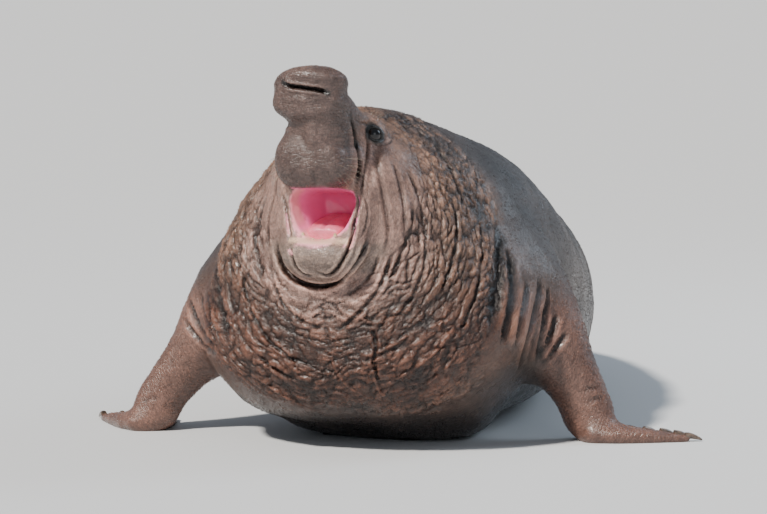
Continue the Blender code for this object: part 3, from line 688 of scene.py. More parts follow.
def open_lids(name, side):
    """Parts the skin over one eyeball into an upper and a lower lid."""
    centre = np.array(EYE_CENTRES[name])
    local = (skin_points - centre) @ eye_axes(side).T
    wide = np.linalg.norm(local[:, :2], axis=1)
    near = (wide < 2.1 * EYE_RADIUS) & (local[:, 2] > -0.2 * EYE_RADIUS)
    near &= np.linalg.norm(local, axis=1) < 2.2 * EYE_RADIUS
    x, y, _ = local[near].T
    # An almond: the height shrinks towards the corners, faster towards the inner one.
    along = np.clip(x / LID_HALF[0], -1, 1)
    rim = LID_HALF[1] * np.maximum(1 - np.abs(along) ** 2.2, 0) ** 0.75
    past = np.maximum(np.abs(x) - LID_HALF[0], 0)
    outside = np.hypot(np.maximum(np.abs(y) - rim, 0), past)
    within = np.maximum(rim - np.abs(y), 0) * (past == 0)
    signed = outside - within
    distance = np.linalg.norm(local[near], axis=1)
    lid = EYE_RADIUS + LID_EDGE * (1 + 0.3 * (y > 0))
    rimmed = ramp(signed, -0.0035, 0.0005)
    wanted = (EYE_RADIUS - BEHIND_BALL) * (1 - rimmed) + lid * rimmed
    # Two fine grooves ring the lids.
    grooves = 0.0030 * np.exp(-(((signed - 0.011) / 0.003) ** 2))
    grooves += 0.0022 * np.exp(-(((signed - 0.021) / 0.004) ** 2))
    wanted -= grooves
    hold = ramp(signed, 0.034, 0.008)
    new = distance + (wanted - distance) * hold
    skin_points[near] = centre + (local[near] * (new / distance)[:, None]) @ eye_axes(side)
    # The lid rims darken through the relief: partly the lids' own black, partly painted shade where lid
    # meets ball.
    relief[near] -= 1.2 * np.exp(-((signed / 0.004) ** 2)) + 0.7 * (signed < 0)


for name in EYES:
    open_lids(name, 1 if EYE_CENTRES[name].x > 0 else -1)
write_points(skin_mesh, skin_points)
print("lids opened", round(2000 * LID_HALF[0]), "by", round(2000 * LID_HALF[1]), "mm")

# %% [markdown]
# ## Fewer triangles, spent where the folds are
#
# The shaped skin is far too heavy. Decimate keeps most triangles where the surface bends,
# and a vertex group tells it to spend more on the face and the shield than on the flank.
# The relief is carried over from the nearest shaped point.

# %% Reduce the skin
SKIN_TRIANGLES = 192000


def nearest_finder(places):
    tree = KDTree(len(places))
    for index, place in enumerate(places):
        tree.insert(place, index)
    tree.balance()
    return tree.find


def carried(source_points, values, target_points):
    """Each target point takes the value of the nearest source point."""
    find = nearest_finder(source_points)
    return values[[find(place)[1] for place in target_points]]


def reduced(mesh, triangles):
    """The mesh with about this many triangles, more of them where the share is fine."""
    body = add_object("reducing", mesh)
    points = read_points(mesh)
    fine = np.maximum(0.9 * face_share(points), 0.75 * shield_share(points))
    fine = np.maximum(fine, np.maximum(0.55 * paw_share(points), 0.45 * arm_share(points)))
    fine = np.maximum(fine, near_eyes(points))
    plain = np.round(1 - 0.75 * fine, 2)
    group = body.vertex_groups.new(name="plain")
    for level in np.unique(plain):
        group.add(np.flatnonzero(plain == level).tolist(), float(level), "REPLACE")
    decimate = body.modifiers.new("reduce", "DECIMATE")
    decimate.ratio = triangles / len(read_triangles(mesh))
    decimate.use_collapse_triangulate = True
    decimate.vertex_group = "plain"
    decimate.vertex_group_factor = 1.0
    return evaluated(body)


shaped_points, shaped_relief = skin_points, relief
skin_points = shaped_points.copy()
skin_points[:, 2] = np.maximum(skin_points[:, 2], 0.0)
write_points(skin_mesh, skin_points)
skin_mesh = reduced(skin_mesh, SKIN_TRIANGLES)
skin_points = read_points(skin_mesh)
relief = carried(shaped_points, shaped_relief, skin_points)
skin_mesh.shade_smooth()
skin = add_object("hide", skin_mesh)
skin.vertex_groups.clear()
skin_mesh.name = "hide"
print("skin has", len(skin_mesh.polygons), "triangles")

# %% [markdown]
# ## The colours of the hide
#
# Zones of colour follow the body: tan cheeks, a red-brown shield that darkens downwards, partly
# its own colour and partly painted shade under the chin, a dark belly, partly wet hide and partly
# painted shade near the floor, red-brown flippers, a slate back that spreads over upward-facing
# skin as painted sky reflection, and the pink lining of the mouth. Each zone is a share worked
# out from where a point lies, and the mix is stored on the skin as a colour attribute that both
# the skin and the coat read.

# %% Name the colours
# The back's own slate, also used as painted sky reflection on upward-facing skin.
BACK_SLATE_AND_SKY_REFLECTION = (0.022, 0.021, 0.023)
FLANK_BROWN = (0.050, 0.036, 0.030)
SHIELD_TAN = (0.140, 0.078, 0.052)
# Lower shield: its own red-brown, with painted shade under the chin.
SHIELD_RED_AND_LOW_SHADE = (0.054, 0.022, 0.013)
FACE_TAN = (0.240, 0.146, 0.118)
CHIN_GREY = (0.165, 0.118, 0.096)
NOSE_BROWN = (0.088, 0.056, 0.048)
# Belly: wet dark hide, with painted shade near the floor.
BELLY_WET_AND_SHADE = (0.022, 0.016, 0.014)
FLIPPER_RED = (0.120, 0.062, 0.046)
MOUTH_PINK = (0.940, 0.250, 0.480)
MOUTH_DEEP = (0.920, 0.190, 0.400)
GUM_PALE = (0.860, 0.420, 0.400)
LIP_CREAM = (0.620, 0.430, 0.300)
# Painted shade in the slit, fold and pit, and the lids' own black rims.
SHADE_AND_LID_BLACK = (0.010, 0.009, 0.009)

# %% [markdown]
# The lining of the mouth is found by what it is: near the middle of the gape, and facing in.
# So the pink stops by itself where the skin turns over the lip.

# %% Find the lining of the mouth
MOUTH_AXIS = (-0.01, 0.935)


def mouth_share(points, facing):
    """1 on the lining of the mouth, whose surface looks in towards the middle of the gape."""
    inward = np.stack([MOUTH_AXIS[0] - points[:, 0], MOUTH_AXIS[1] - points[:, 2]], axis=1)
    gap = np.linalg.norm(inward, axis=1)
    looks = (inward * facing[:, [0, 2]]).sum(1) / np.maximum(gap, 1e-6)
    box = ramp(points[:, 1], -0.93, -0.87) * ramp(points[:, 1], -0.50, -0.56) * (gap < 0.19)
    back = ramp(points[:, 1], -0.74, -0.70) * (gap < 0.13)
    return box * np.maximum(ramp(looks, 0.42, 0.68), back)


def near_line(points, line, reach):
    """1 on a line of places, falling to 0 within the reach."""
    find = nearest_finder(line)
    low, high = line.min(0) - 3 * reach, line.max(0) + 3 * reach
    inside = np.flatnonzero(np.all((points > low) & (points < high), axis=1))
    share = np.zeros(len(points))
    share[inside] = [math.exp(-((find(points[i])[2] / reach) ** 2)) for i in inside]
    return share


# %% [markdown]
# The zones are laid one over another like thin paint, broad ones first: flank, shield, back,
# belly, face, nose and flippers, then the mouth, and last black: painted shade in the nostril
# slit, the muzzle fold and the pit below the eye, and the lids' own black rims.

# %% Mix the zones
def zone_colours(points, facing):
    """The colour of each point and how wet it is."""
    tone = np.tile(BACK_SLATE_AND_SKY_REFLECTION, (len(points), 1))

    def mix(colour, share):
        tone[:] += (np.array(colour) - tone) * np.clip(share, 0, 1)[:, None]

    x, y, z = points.T
    drift = 0.05 * wander(points / 0.25, 51) + 0.02 * wander(points / 0.06, 52)
    reach = np.linalg.norm(points - CHIN, axis=1) + drift
    mix(FLANK_BROWN, ramp(z + drift, 1.10, 0.75) * ramp(y, 3.4, 2.2))
    shield = ramp(reach, 1.05, 0.78) * ramp(y + drift, 0.22, -0.12)
    mix(SHIELD_TAN, shield)
    # The shield turns redder and darker downwards: partly its own colour, partly painted shade under the
    # chin.
    mix(SHIELD_RED_AND_LOW_SHADE, shield * ramp(z + 0.8 * drift, 0.92, 0.50))
    # Upward-facing skin behind the face turns slate: partly the back's own colour, partly painted sky
    # reflection on the tops.
    mix(BACK_SLATE_AND_SKY_REFLECTION, 0.85 * ramp(facing[:, 2], 0.30, 0.75) * ramp(y, -0.50, -0.30))
    # Darker towards the floor: partly wet hide, partly painted shade under the body.
    mix(BELLY_WET_AND_SHADE, ramp(z + 1.4 * drift, 0.21, 0.10) * ramp(np.abs(x), 0.64, 0.52))
    mix(FACE_TAN, ramp(reach, 0.52, 0.30) * ramp(y, -0.36, -0.60))
    mix(CHIN_GREY, ramp(z, 0.85, 0.80) * ramp(reach, 0.30, 0.22) * ramp(y, -0.60, -0.70))
    nose = ramp(z, 1.20, 1.28) * ramp(y, -0.68, -0.80)
    mix(NOSE_BROWN, np.maximum(nose, ramp(y, -0.78, -0.86) * ramp(z, 0.98, 1.03)))
    arms = ramp(np.abs(x), 0.60, 0.70) * (y < 0.7) * ramp(z, 0.66, 0.50)
    mix(FLIPPER_RED, np.maximum(arms, 0.7 * ramp(y, 2.9, 3.2)))
    mouth = mouth_share(points, facing)
    mix(MOUTH_PINK, mouth)
    mix(MOUTH_DEEP, mouth * ramp(y, -0.74, -0.66))
    mix(GUM_PALE, mouth * ramp(z, 0.885, 0.850) * ramp(y, -0.70, -0.76))
    mix(GUM_PALE, 0.8 * mouth * ramp(x, -0.080, -0.105) * ramp(y, -0.72, -0.76))
    lip = ramp(np.abs(z - 0.834), 0.014, 0.005) * ramp(y, -0.80, -0.84)
    mix(LIP_CREAM, 0.8 * (lip * (np.abs(x) < 0.12) * (reach < 0.3)))
    # Painted shade: the nostril slit, the muzzle fold and the pit below the eye are blackened; the ring
    # round each eye is the lids' own black.
    slit = near_line(points, nostril_line, 0.011)
    fold = near_line(points, muzzle_line, 0.013)
    pit = near_line(points, np.array([tear_pit]), 0.024)
    dark = np.maximum(1.2 * slit, np.maximum(0.75 * fold, 1.2 * pit))
    for name in EYES:
        centre = np.array(EYE_CENTRES[name])
        local = (points - centre) @ eye_axes(1 if centre[0] > 0 else -1).T
        almond = np.hypot(local[:, 0] / 0.041, local[:, 1] / 0.031)
        dark = np.maximum(dark, ramp(almond, 1.30, 1.0) * (np.linalg.norm(local, axis=1) < 0.07))
    mix(SHADE_AND_LID_BLACK, dark * (1 - mouth))
    wet = 0.42 + 0.3 * face_share(points) + 0.3 * ramp(z, 0.4, 0.0) + mouth + 0.6 * dark
    return tone, np.clip(wet, 0, 1), mouth


def store(mesh, name, kind, values):
    made = mesh.attributes.new(name, kind, "POINT")
    field = {"FLOAT": "value", "FLOAT_COLOR": "color", "FLOAT_VECTOR": "vector"}[kind]
    made.data.foreach_set(field, np.asarray(values, np.float32).ravel())


facing = read_points(skin_mesh, "normal")
tone, wet, lining = zone_colours(skin_points, facing)
relief = np.clip(relief, -2, 2)
store(skin_mesh, "tone", "FLOAT_COLOR", np.column_stack([tone, np.ones(len(tone))]))
store(skin_mesh, "wet", "FLOAT", wet)
store(skin_mesh, "lining", "FLOAT", lining)
store(skin_mesh, "relief", "FLOAT", relief)
store(skin_mesh, "flow", "FLOAT_VECTOR", flow_of(skin_points))
print("zones stored, mean tone", tone.mean(0).round(3))

# %% [markdown]
# ## Shader helpers and shared effects
#
# Skin, coat, tongue, nails and floor are all made of noise read at the right scale. What more
# than one of them uses is a node group: blotches vary a colour, and beads of wet vary the
# roughness.

# %% Node helpers
def connect(tree, node, **inputs):
    """Links each input given as a socket, and sets any other value; _ stands for a space."""
    for key, value in inputs.items():
        socket = node.inputs[int(key[1:]) if key[0] == "_" else key.replace("_", " ")]
        if isinstance(value, bpy.types.NodeSocket):
            tree.links.new(value, socket)
        else:
            socket.default_value = value
    return node


def put(tree, kind, settings=(), **inputs):
    """Adds a node with its settings and its inputs."""
    made = tree.nodes.new(kind)
    for key, value in dict(settings).items():
        setattr(made, key, value)
    return connect(tree, made, **inputs)


def use_group(tree, group, **inputs):
    return put(tree, "ShaderNodeGroup", {"node_tree": group}, **inputs)


def object_place(tree):
    return put(tree, "ShaderNodeTexCoord").outputs["Object"]


def attribute(tree, name, output="Fac"):
    return put(tree, "ShaderNodeAttribute", {"attribute_name": name}).outputs[output]


def noise(tree, vector, **inputs):
    return put(tree, "ShaderNodeTexNoise", Vector=vector, **inputs).outputs["Fac"]


def bumped(tree, height, strength, distance):
    bump = put(tree, "ShaderNodeBump", Strength=strength, Distance=distance, Height=height)
    return bump.outputs["Normal"]


def blend_colour(tree, share, first, second, kind="MIX"):
    settings = {"data_type": "RGBA", "blend_type": kind}
    return put(tree, "ShaderNodeMix", settings, _0=share, _6=first, _7=second).outputs[2]


def remap(tree, value, low, high, to_low=0.0, to_high=1.0):
    made = put(tree, "ShaderNodeMapRange", Value=value, From_Min=low, From_Max=high,
               To_Min=to_low, To_Max=to_high)
    return made.outputs["Result"]


def calculate(tree, operation, first, second):
    return put(tree, "ShaderNodeMath", {"operation": operation}, _0=first, _1=second).outputs[0]


def scaled(tree, vector, sizes):
    """The vector with each part divided by a size in metres."""
    made = put(tree, "ShaderNodeMapping", Vector=vector, Scale=[1 / size for size in sizes])
    return made.outputs["Vector"]


def new_group(name, inputs, outputs):
    group = bpy.data.node_groups.new(name, "ShaderNodeTree")
    for label, kind in inputs:
        group.interface.new_socket(label, in_out="INPUT", socket_type=kind)
    for label, kind in outputs:
        group.interface.new_socket(label, in_out="OUTPUT", socket_type=kind)
    return group, group.nodes.new("NodeGroupInput"), group.nodes.new("NodeGroupOutput")


def new_material(name):
    material = bpy.data.materials.new(name)
    material.use_nodes = True
    return material, material.node_tree, material.node_tree.nodes["Principled BSDF"]


# %% [markdown]
# Blotches lighten and darken a colour by broad noise. Wet beads turn a share of wetness into
# a roughness, in patches, as a hide dries in patches.

# %% Blotches and wet beads
blotches, entry, leave = new_group(
    "blotches",
    [("Color", "NodeSocketColor"), ("Size", "NodeSocketFloat"), ("Amount", "NodeSocketFloat")],
    [("Color", "NodeSocketColor")],
)
broad = noise(blotches, object_place(blotches), Scale=entry.outputs["Size"], Detail=5.0,
              Roughness=0.62)
light = remap(blotches, broad, 0.3, 0.7, -1.0, 1.0)
light = calculate(blotches, "MULTIPLY", light, entry.outputs["Amount"])
light = calculate(blotches, "ADD", light, 1.0)
varied = put(blotches, "ShaderNodeVectorMath", {"operation": "SCALE"},
             _0=entry.outputs["Color"], Scale=light)
blotches.links.new(varied.outputs[0], leave.inputs["Color"])

wet_beads, entry, leave = new_group(
    "wet_beads",
    [("Wet", "NodeSocketFloat"), ("Dry Roughness", "NodeSocketFloat"),
     ("Wet Roughness", "NodeSocketFloat")],
    [("Roughness", "NodeSocketFloat")],
)
patch = noise(wet_beads, object_place(wet_beads), Scale=9.0, Detail=6.0, Roughness=0.7)
patch = remap(wet_beads, patch, 0.35, 0.65, -0.35, 0.35)
soak = calculate(wet_beads, "ADD", patch, entry.outputs["Wet"])
span = put(wet_beads, "ShaderNodeMapRange", {"clamp": True}, Value=soak,
           To_Min=entry.outputs["Dry Roughness"], To_Max=entry.outputs["Wet Roughness"])
wet_beads.links.new(span.outputs["Result"], leave.inputs["Roughness"])
print("shared effects:", blotches.name, wet_beads.name)

# %% [markdown]
# ## The hide's material
#
# The zones give the broad colour. The relief paints shade into the cracks and highlight onto the ridges.
# Finer wrinkles than the mesh can hold are a bump read in the same squeezed space as the
# shield's folds, so they run the same way.

# %% Build the hide
PAD_SIZE = (0.011, 0.034, 0.034)
HAIR_SIZE = (0.0045, 0.0045, 0.011)
# Painted shade darkens the cracks, and painted highlight lightens the ridges and hairs.
CRACK_SHADE_TINT = (0.13, 0.10, 0.09, 1)
RIDGE_HIGHLIGHT_TINT = (2.5, 2.4, 2.3, 1)


def hide_material(name, lift, fine_bump):
    """Wet hide, or with lift its coat, whose hairs are painted lighter as painted glints."""
    material, tree, shader = new_material(name)
    tone = attribute(tree, "tone", "Color")
    lining = attribute(tree, "lining")
    colour = use_group(tree, blotches, Color=tone, Size=2.2, Amount=0.16).outputs["Color"]
    colour = use_group(tree, blotches, Color=colour, Size=30.0, Amount=0.20).outputs["Color"]
    flow = scaled(tree, attribute(tree, "flow", "Vector"), PAD_SIZE)
    edges = put(tree, "ShaderNodeTexVoronoi", {"feature": "DISTANCE_TO_EDGE"}, Vector=flow,
                Scale=1.0, Randomness=1.0)
    pad = remap(tree, edges.outputs["Distance"], 0.0, 0.22)
    hair = noise(tree, scaled(tree, object_place(tree), HAIR_SIZE), Scale=1.0, Detail=4.0,
                 Roughness=0.65)
    # Painted shade below 0, in cracks and between hairs; painted highlight above 0, on ridges and along
    # hairs as glints.
    shade = calculate(tree, "MULTIPLY", attribute(tree, "relief"), 0.95)
    shade = calculate(tree, "ADD", shade, remap(tree, pad, 0, 1, -0.28, 0.06))
    shade = calculate(tree, "ADD", shade, remap(tree, hair, 0.3, 0.7, -0.45, 0.45))
    # The lift paints the whole coat lighter, a painted glint on the hairs.
    shade = calculate(tree, "ADD", shade, lift)
    dark = blend_colour(tree, 1.0, colour, CRACK_SHADE_TINT, "MULTIPLY")
    crack_shade = blend_colour(tree, remap(tree, shade, 0.0, -1.1), colour, dark)
    ridge_highlight = blend_colour(tree, 1.0, colour, RIDGE_HIGHLIGHT_TINT, "MULTIPLY")
    colour = blend_colour(tree, remap(tree, shade, 0.05, 1.0), crack_shade, ridge_highlight)
    height = calculate(tree, "ADD", calculate(tree, "MULTIPLY", pad, 0.0011),
                       calculate(tree, "MULTIPLY", hair, 0.0030))
    height = calculate(tree, "MULTIPLY", height, remap(tree, lining, 0.0, 1.0, 1.0, 0.25))
    rough = use_group(tree, wet_beads, Wet=attribute(tree, "wet"), Dry_Roughness=0.52,
                      Wet_Roughness=0.17)
    connect(tree, shader, Base_Color=blend_colour(tree, lining, colour, tone),
            Roughness=rough.outputs["Roughness"], Normal=bumped(tree, height, fine_bump, 1.0),
            Specular_IOR_Level=0.5, Coat_Weight=0.12, Coat_Roughness=0.18)
    return material


hide = hide_material("hide", 0.0, 0.9)
skin_mesh.materials.clear()
skin_mesh.materials.append(hide)
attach(skin, "root")
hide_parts(*FLESH)
print("hide dressed")

# %% [markdown]
# ## The coat
#
# An elephant seal's hair is short, stiff and flat, and wet it lies like lacquer, so the hide's
# bump carries most of it. Small pointed tufts break the surface where light grazes it. Each is
# a flat closed wedge of four triangles, thousands of them joined in one mesh. They lie toward
# the tail and the flipper tips, are smallest on the face and hands, and carry the hide's own
# colour and relief at their roots. They store no lining, so it reads 0: the mouth has none.

# %% Sow the tufts
TUFT_COUNT = 172000
TUFTS_IN_PIECE = 44000


def sown(count):
    """Random roots on the skin, more of them on the face and the shield, none in the mouth."""
    triangles = read_triangles(skin_mesh)
    corners = skin_points[triangles]
    middle = corners.mean(1)
    across = np.cross(corners[:, 1] - corners[:, 0], corners[:, 2] - corners[:, 0])
    area = np.linalg.norm(across, axis=1) / 2
    lining = mouth_share(middle, facing[triangles].mean(1))
    wish = 1 + 8 * face_share(middle) + 1.6 * shield_share(middle) + 0.8 * paw_share(middle)
    wish *= (lining < 0.1) * ramp(middle[:, 2], 0.004, 0.03)
    for centre in EYE_CENTRES.values():
        wish *= np.linalg.norm(middle - np.array(centre), axis=1) > 1.35 * EYE_RADIUS
    chance = area * wish
    picked = random.choice(len(triangles), count, p=chance / chance.sum())
    share = random.dirichlet((1, 1, 1), count)
    roots = (corners[picked] * share[:, :, None]).sum(1)
    normals = (facing[triangles[picked]] * share[:, :, None]).sum(1)
    normals /= np.linalg.norm(normals, axis=1)[:, None]
    nearest = triangles[picked, share.argmax(1)]
    return roots, normals, nearest


def lie_of(roots, normals):
    """The way the coat lies: to the tail, down the chest, and out along the flippers."""
    x, y, z = roots.T
    way = np.tile((0.0, 1.0, -0.45), (len(roots), 1))
    arms = ramp(np.abs(x), 0.58, 0.72) * (y < 0.7) * ramp(z, 0.75, 0.55)
    drop = -0.8 + 0.75 * ramp(z, 0.16, 0.06)
    outward = np.stack([np.sign(x) * 0.8, np.full(len(x), 0.1), drop], axis=1)
    way += (outward - way) * arms[:, None]
    muzzle = ramp(y, -0.78, -0.88) * ramp(z, 0.95, 1.05)
    over_lip = np.stack([0.8 * x / 0.15, np.full(len(x), 0.5), np.full(len(x), -1.0)], axis=1)
    way += (over_lip - way) * muzzle[:, None]
    way += 0.35 * np.stack([wander(roots / 0.05, 81 + k) for k in range(3)], axis=1)
    way += 0.22 * random.normal(size=way.shape)
    way -= normals * (way * normals).sum(1)[:, None]
    return way / np.maximum(np.linalg.norm(way, axis=1), 1e-6)[:, None]


roots, root_normals, nearest = sown(TUFT_COUNT)
lie = lie_of(roots, root_normals)
small = np.maximum(face_share(roots), 0.8 * paw_share(roots))
tuft_length = (0.0125 - 0.0070 * small) * random.uniform(0.7, 1.3, TUFT_COUNT)
tuft_width = (0.0026 - 0.0012 * small) * random.uniform(0.8, 1.25, TUFT_COUNT)
tuft_lift = (0.0022 - 0.0008 * small) * random.uniform(0.5, 1.5, TUFT_COUNT)
print("tufts sown:", TUFT_COUNT, "lengths", tuft_length.min().round(4), tuft_length.max().round(4))

# %% [markdown]
# For the export each tuft has its own small square on a map named OFBake. The map unwraps the
# skin's own shape: six charts, one for each way the skin can face, laid side by side, and the
# square sits where the tuft's root falls on its chart.

# %% Build the coat
PATCH = 0.003
ROOT_SUNK = 0.0012
FLOOR_GAP = 0.0004


def chart_places(points, normals):
    """Where roots fall on six charts in a 3 by 2 sheet, each chart filled by its own roots."""
    facing_axis = np.abs(normals).argmax(1)
    ahead = np.take_along_axis(normals, facing_axis[:, None], 1)[:, 0] > 0
    chart = facing_axis * 2 + ahead
    places = np.zeros((len(points), 2))
    for number in range(6):
        own = chart == number
        if own.any():
            flat = np.delete(points[own], number // 2, axis=1)
            low, high = flat.min(0), flat.max(0)
            flat = (flat - low) / np.maximum(high - low, 1e-6)
            places[own, 0] = (number % 3 + 0.01 + 0.97 * flat[:, 0]) / 3
            places[own, 1] = (number // 3 + 0.01 + 0.97 * flat[:, 1]) / 2
    return places


def coat_piece(name, own, material):
    """One mesh of wedges: two root corners, a raised back and a tip for each tuft."""
    count = len(own)
    root, normal, way = roots[own], root_normals[own], lie[own]
    length, width, lift = tuft_length[own, None], tuft_width[own, None], tuft_lift[own, None]
    aside = np.cross(normal, way)
    sunk = root - normal * ROOT_SUNK
    left = sunk - aside * width / 2
    right = sunk + aside * width / 2
    back = root + normal * lift * 0.55 + way * length * 0.25
    tip = root + way * length + normal * lift
    points = np.stack([left, right, back, tip], axis=1).reshape(-1, 3)
    points[:, 2] = np.maximum(points[:, 2], FLOOR_GAP)
    wedge = np.array(((0, 2, 1), (0, 3, 2), (1, 2, 3), (0, 1, 3)))
    faces = (np.arange(count)[:, None, None] * 4 + wedge).reshape(-1, 3)
    mesh = bpy.data.meshes.new(name)
    mesh.vertices.add(len(points))
    mesh.loops.add(faces.size)
    mesh.polygons.add(len(faces))
    mesh.vertices.foreach_set("co", points.astype(np.float32).ravel())
    mesh.loops.foreach_set("vertex_index", faces.astype(np.int32).ravel())
    mesh.polygons.foreach_set("loop_start", np.arange(0, faces.size, 3, dtype=np.int32))
    mesh.update(calc_edges=True)
    uv = np.repeat(chart_places(root, normal), 4, axis=0)
    uv += np.tile(((0, 0), (PATCH, 0), (0, PATCH), (PATCH, PATCH)), (count, 1))
    chart = mesh.uv_layers.new(name="OFBake")
    chart.data.foreach_set("uv", uv[faces.ravel()].astype(np.float32).ravel())
    vertex = np.repeat(nearest[own], 4)
    store(mesh, "tone", "FLOAT_COLOR", np.column_stack([tone[vertex], np.ones(len(vertex))]))
    store(mesh, "wet", "FLOAT", wet[vertex])
    store(mesh, "relief", "FLOAT", relief[vertex])
    store(mesh, "flow", "FLOAT_VECTOR", flow_of(np.repeat(root, 4, axis=0)))
    mesh.materials.append(material)
    piece = add_object(name, mesh)
    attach(piece, "root")
    return len(faces)


# The coat's lift of 0.42 is a painted glint that lightens the hairs.
hair = hide_material("hair", 0.42, 0.25)
front = (roots[:, 1] < 0.05) & (np.abs(roots[:, 0]) < 0.64)
high = roots[:, 2] >= 0.78
left = roots[:, 0] > 0
regions = (front & high, front & ~high, ~front & left, ~front & ~left)
order = np.concatenate([np.flatnonzero(region) for region in regions])
parts = [order[start:start + TUFTS_IN_PIECE] for start in range(0, TUFT_COUNT, TUFTS_IN_PIECE)]
sizes = [coat_piece(f"coat_{number + 1}", own, hair) for number, own in enumerate(parts)]
print("coat pieces with triangles:", sizes)

# %% [markdown]
# ## Eyes
#
# A seal's eye is almost all iris and pupil, near black, under a bulging wet cornea. The ball
# keeps the solid's place and size, and its front swells a little.

# %% Make the eyeballs
PUPIL_BLACK = (0.003, 0.003, 0.004, 1)
IRIS_TONES = ((0.006, 0.004, 0.003, 1), (0.018, 0.010, 0.006, 1))
WHITE_TONES = ((0.030, 0.016, 0.012, 1), (0.070, 0.040, 0.030, 1))


def eye_material():
    """A black pupil in a near-black iris, and the dark brown that shows as the eye's white."""
    material, tree, shader = new_material("wet_eye")
    reach = attribute(tree, "from_pupil")
    streak = noise(tree, object_place(tree), Scale=260.0, Detail=4.0, Roughness=0.6)
    iris = blend_colour(tree, remap(tree, streak, 0.35, 0.65), *IRIS_TONES)
    colour = blend_colour(tree, remap(tree, reach, 0.36, 0.44), PUPIL_BLACK, iris)
    white = blend_colour(tree, remap(tree, streak, 0.4, 0.6), *WHITE_TONES)
    colour = blend_colour(tree, remap(tree, reach, 0.86, 0.96), colour, white)
    connect(tree, shader, Base_Color=colour, Roughness=0.08, Specular_IOR_Level=0.25,
            Coat_Weight=0.45, Coat_Roughness=0.02)
    return material


def make_eye(name, side, material):
    builder = bmesh.new()
    bmesh.ops.create_uvsphere(builder, u_segments=48, v_segments=32, radius=EYE_RADIUS)
    mesh = bpy.data.meshes.new(name)
    builder.to_mesh(mesh)
    builder.free()
    points = read_points(mesh)
    angle = np.arccos(np.clip(points[:, 2] / EYE_RADIUS, -1, 1))
    reach = angle / 1.15
    points *= (1 + 0.045 * ramp(angle, 0.75, 0.0))[:, None]
    store(mesh, "from_pupil", "FLOAT", reach)
    axes = eye_axes(side)
    if np.linalg.det(axes) < 0:
        axes[0] *= -1
    write_points(mesh, np.array(EYE_CENTRES[name]) + points @ axes)
    mesh.shade_smooth()
    mesh.materials.append(material)
    eye = add_object("wet_" + name, mesh)
    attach(eye, "root")
    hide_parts(name)
    return eye


eye_look = eye_material()
eyes = [make_eye(name, 1 if EYE_CENTRES[name].x > 0 else -1, eye_look) for name in EYES]
print("eyes:", [eye.name for eye in eyes])

# %% [markdown]
# ## Tongue
#
# The tongue's solid is right in place, and needs only soft flesh: it is remeshed, smoothed,
# spread a little to fill the jaw, and given a furrow along its middle and a wet pink finish.

# %% Make the tongue
TONGUE_PINK = (0.80, 0.24, 0.32, 1)
TONGUE_DEEP = (0.66, 0.13, 0.20, 1)


def flesh_material(name):
    """Wet pink flesh with the small bumps of a tongue."""
    material, tree, shader = new_material(name)
    grain = put(tree, "ShaderNodeTexVoronoi", Vector=object_place(tree), Scale=420.0)
    grain = grain.outputs["Distance"]
    colour = blend_colour(tree, remap(tree, grain, 0.1, 0.8), TONGUE_PINK, TONGUE_DEEP)
    colour = use_group(tree, blotches, Color=colour, Size=14.0, Amount=0.15).outputs["Color"]
    connect(tree, shader, Base_Color=colour, Normal=bumped(tree, grain, 0.5, 0.0012),
            Roughness=0.28, Subsurface_Weight=0.15, Subsurface_Scale=0.01,
            Coat_Weight=0.4, Coat_Roughness=0.12)
    return material


TONGUE_SPREAD = 1.2
tongue_mesh = remeshed("tongue_flesh", [swollen_copy("tongue", 0.002)], 0.0045)
tongue_mesh = smoothed(tongue_mesh, np.ones(len(tongue_mesh.vertices)), 14)
points = read_points(tongue_mesh)
normals = read_points(tongue_mesh, "normal")
furrow = np.exp(-((points[:, 0] / 0.007) ** 2)) * ramp(normals[:, 2], 0.3, 0.8)
lumps = 0.0015 * wander(points / 0.012, 61)
points += normals * (lumps - 0.006 * furrow)[:, None]
points[:, 0] *= TONGUE_SPREAD
write_points(tongue_mesh, points)
tongue_mesh.shade_smooth()
tongue_mesh.materials.clear()
tongue_mesh.materials.append(flesh_material("tongue_flesh"))
tongue = add_object("tongue_flesh", tongue_mesh)
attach(tongue, "root")
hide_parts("tongue")
print("tongue has", len(tongue_mesh.polygons), "faces")

# %% [markdown]
# ## Whiskers, teeth and nails
#
# Whiskers, teeth and nails are all pegs of horn that taper along a bent line, so one Geometry
# Nodes tree makes them. It gets lines of points, turns them into curves, and sweeps a ring
# along each, whose size falls from the root to a point or to a blunt end.

# %% Build the tree of tapered pegs
PEG_INPUTS = {"Lines": "Geometry", "Thickness": "Float", "Blunt": "Float", "Taper": "Float",
              "Sides": "Int", "Unevenness": "Float", "Seed": "Int", "Horn": "Material"}


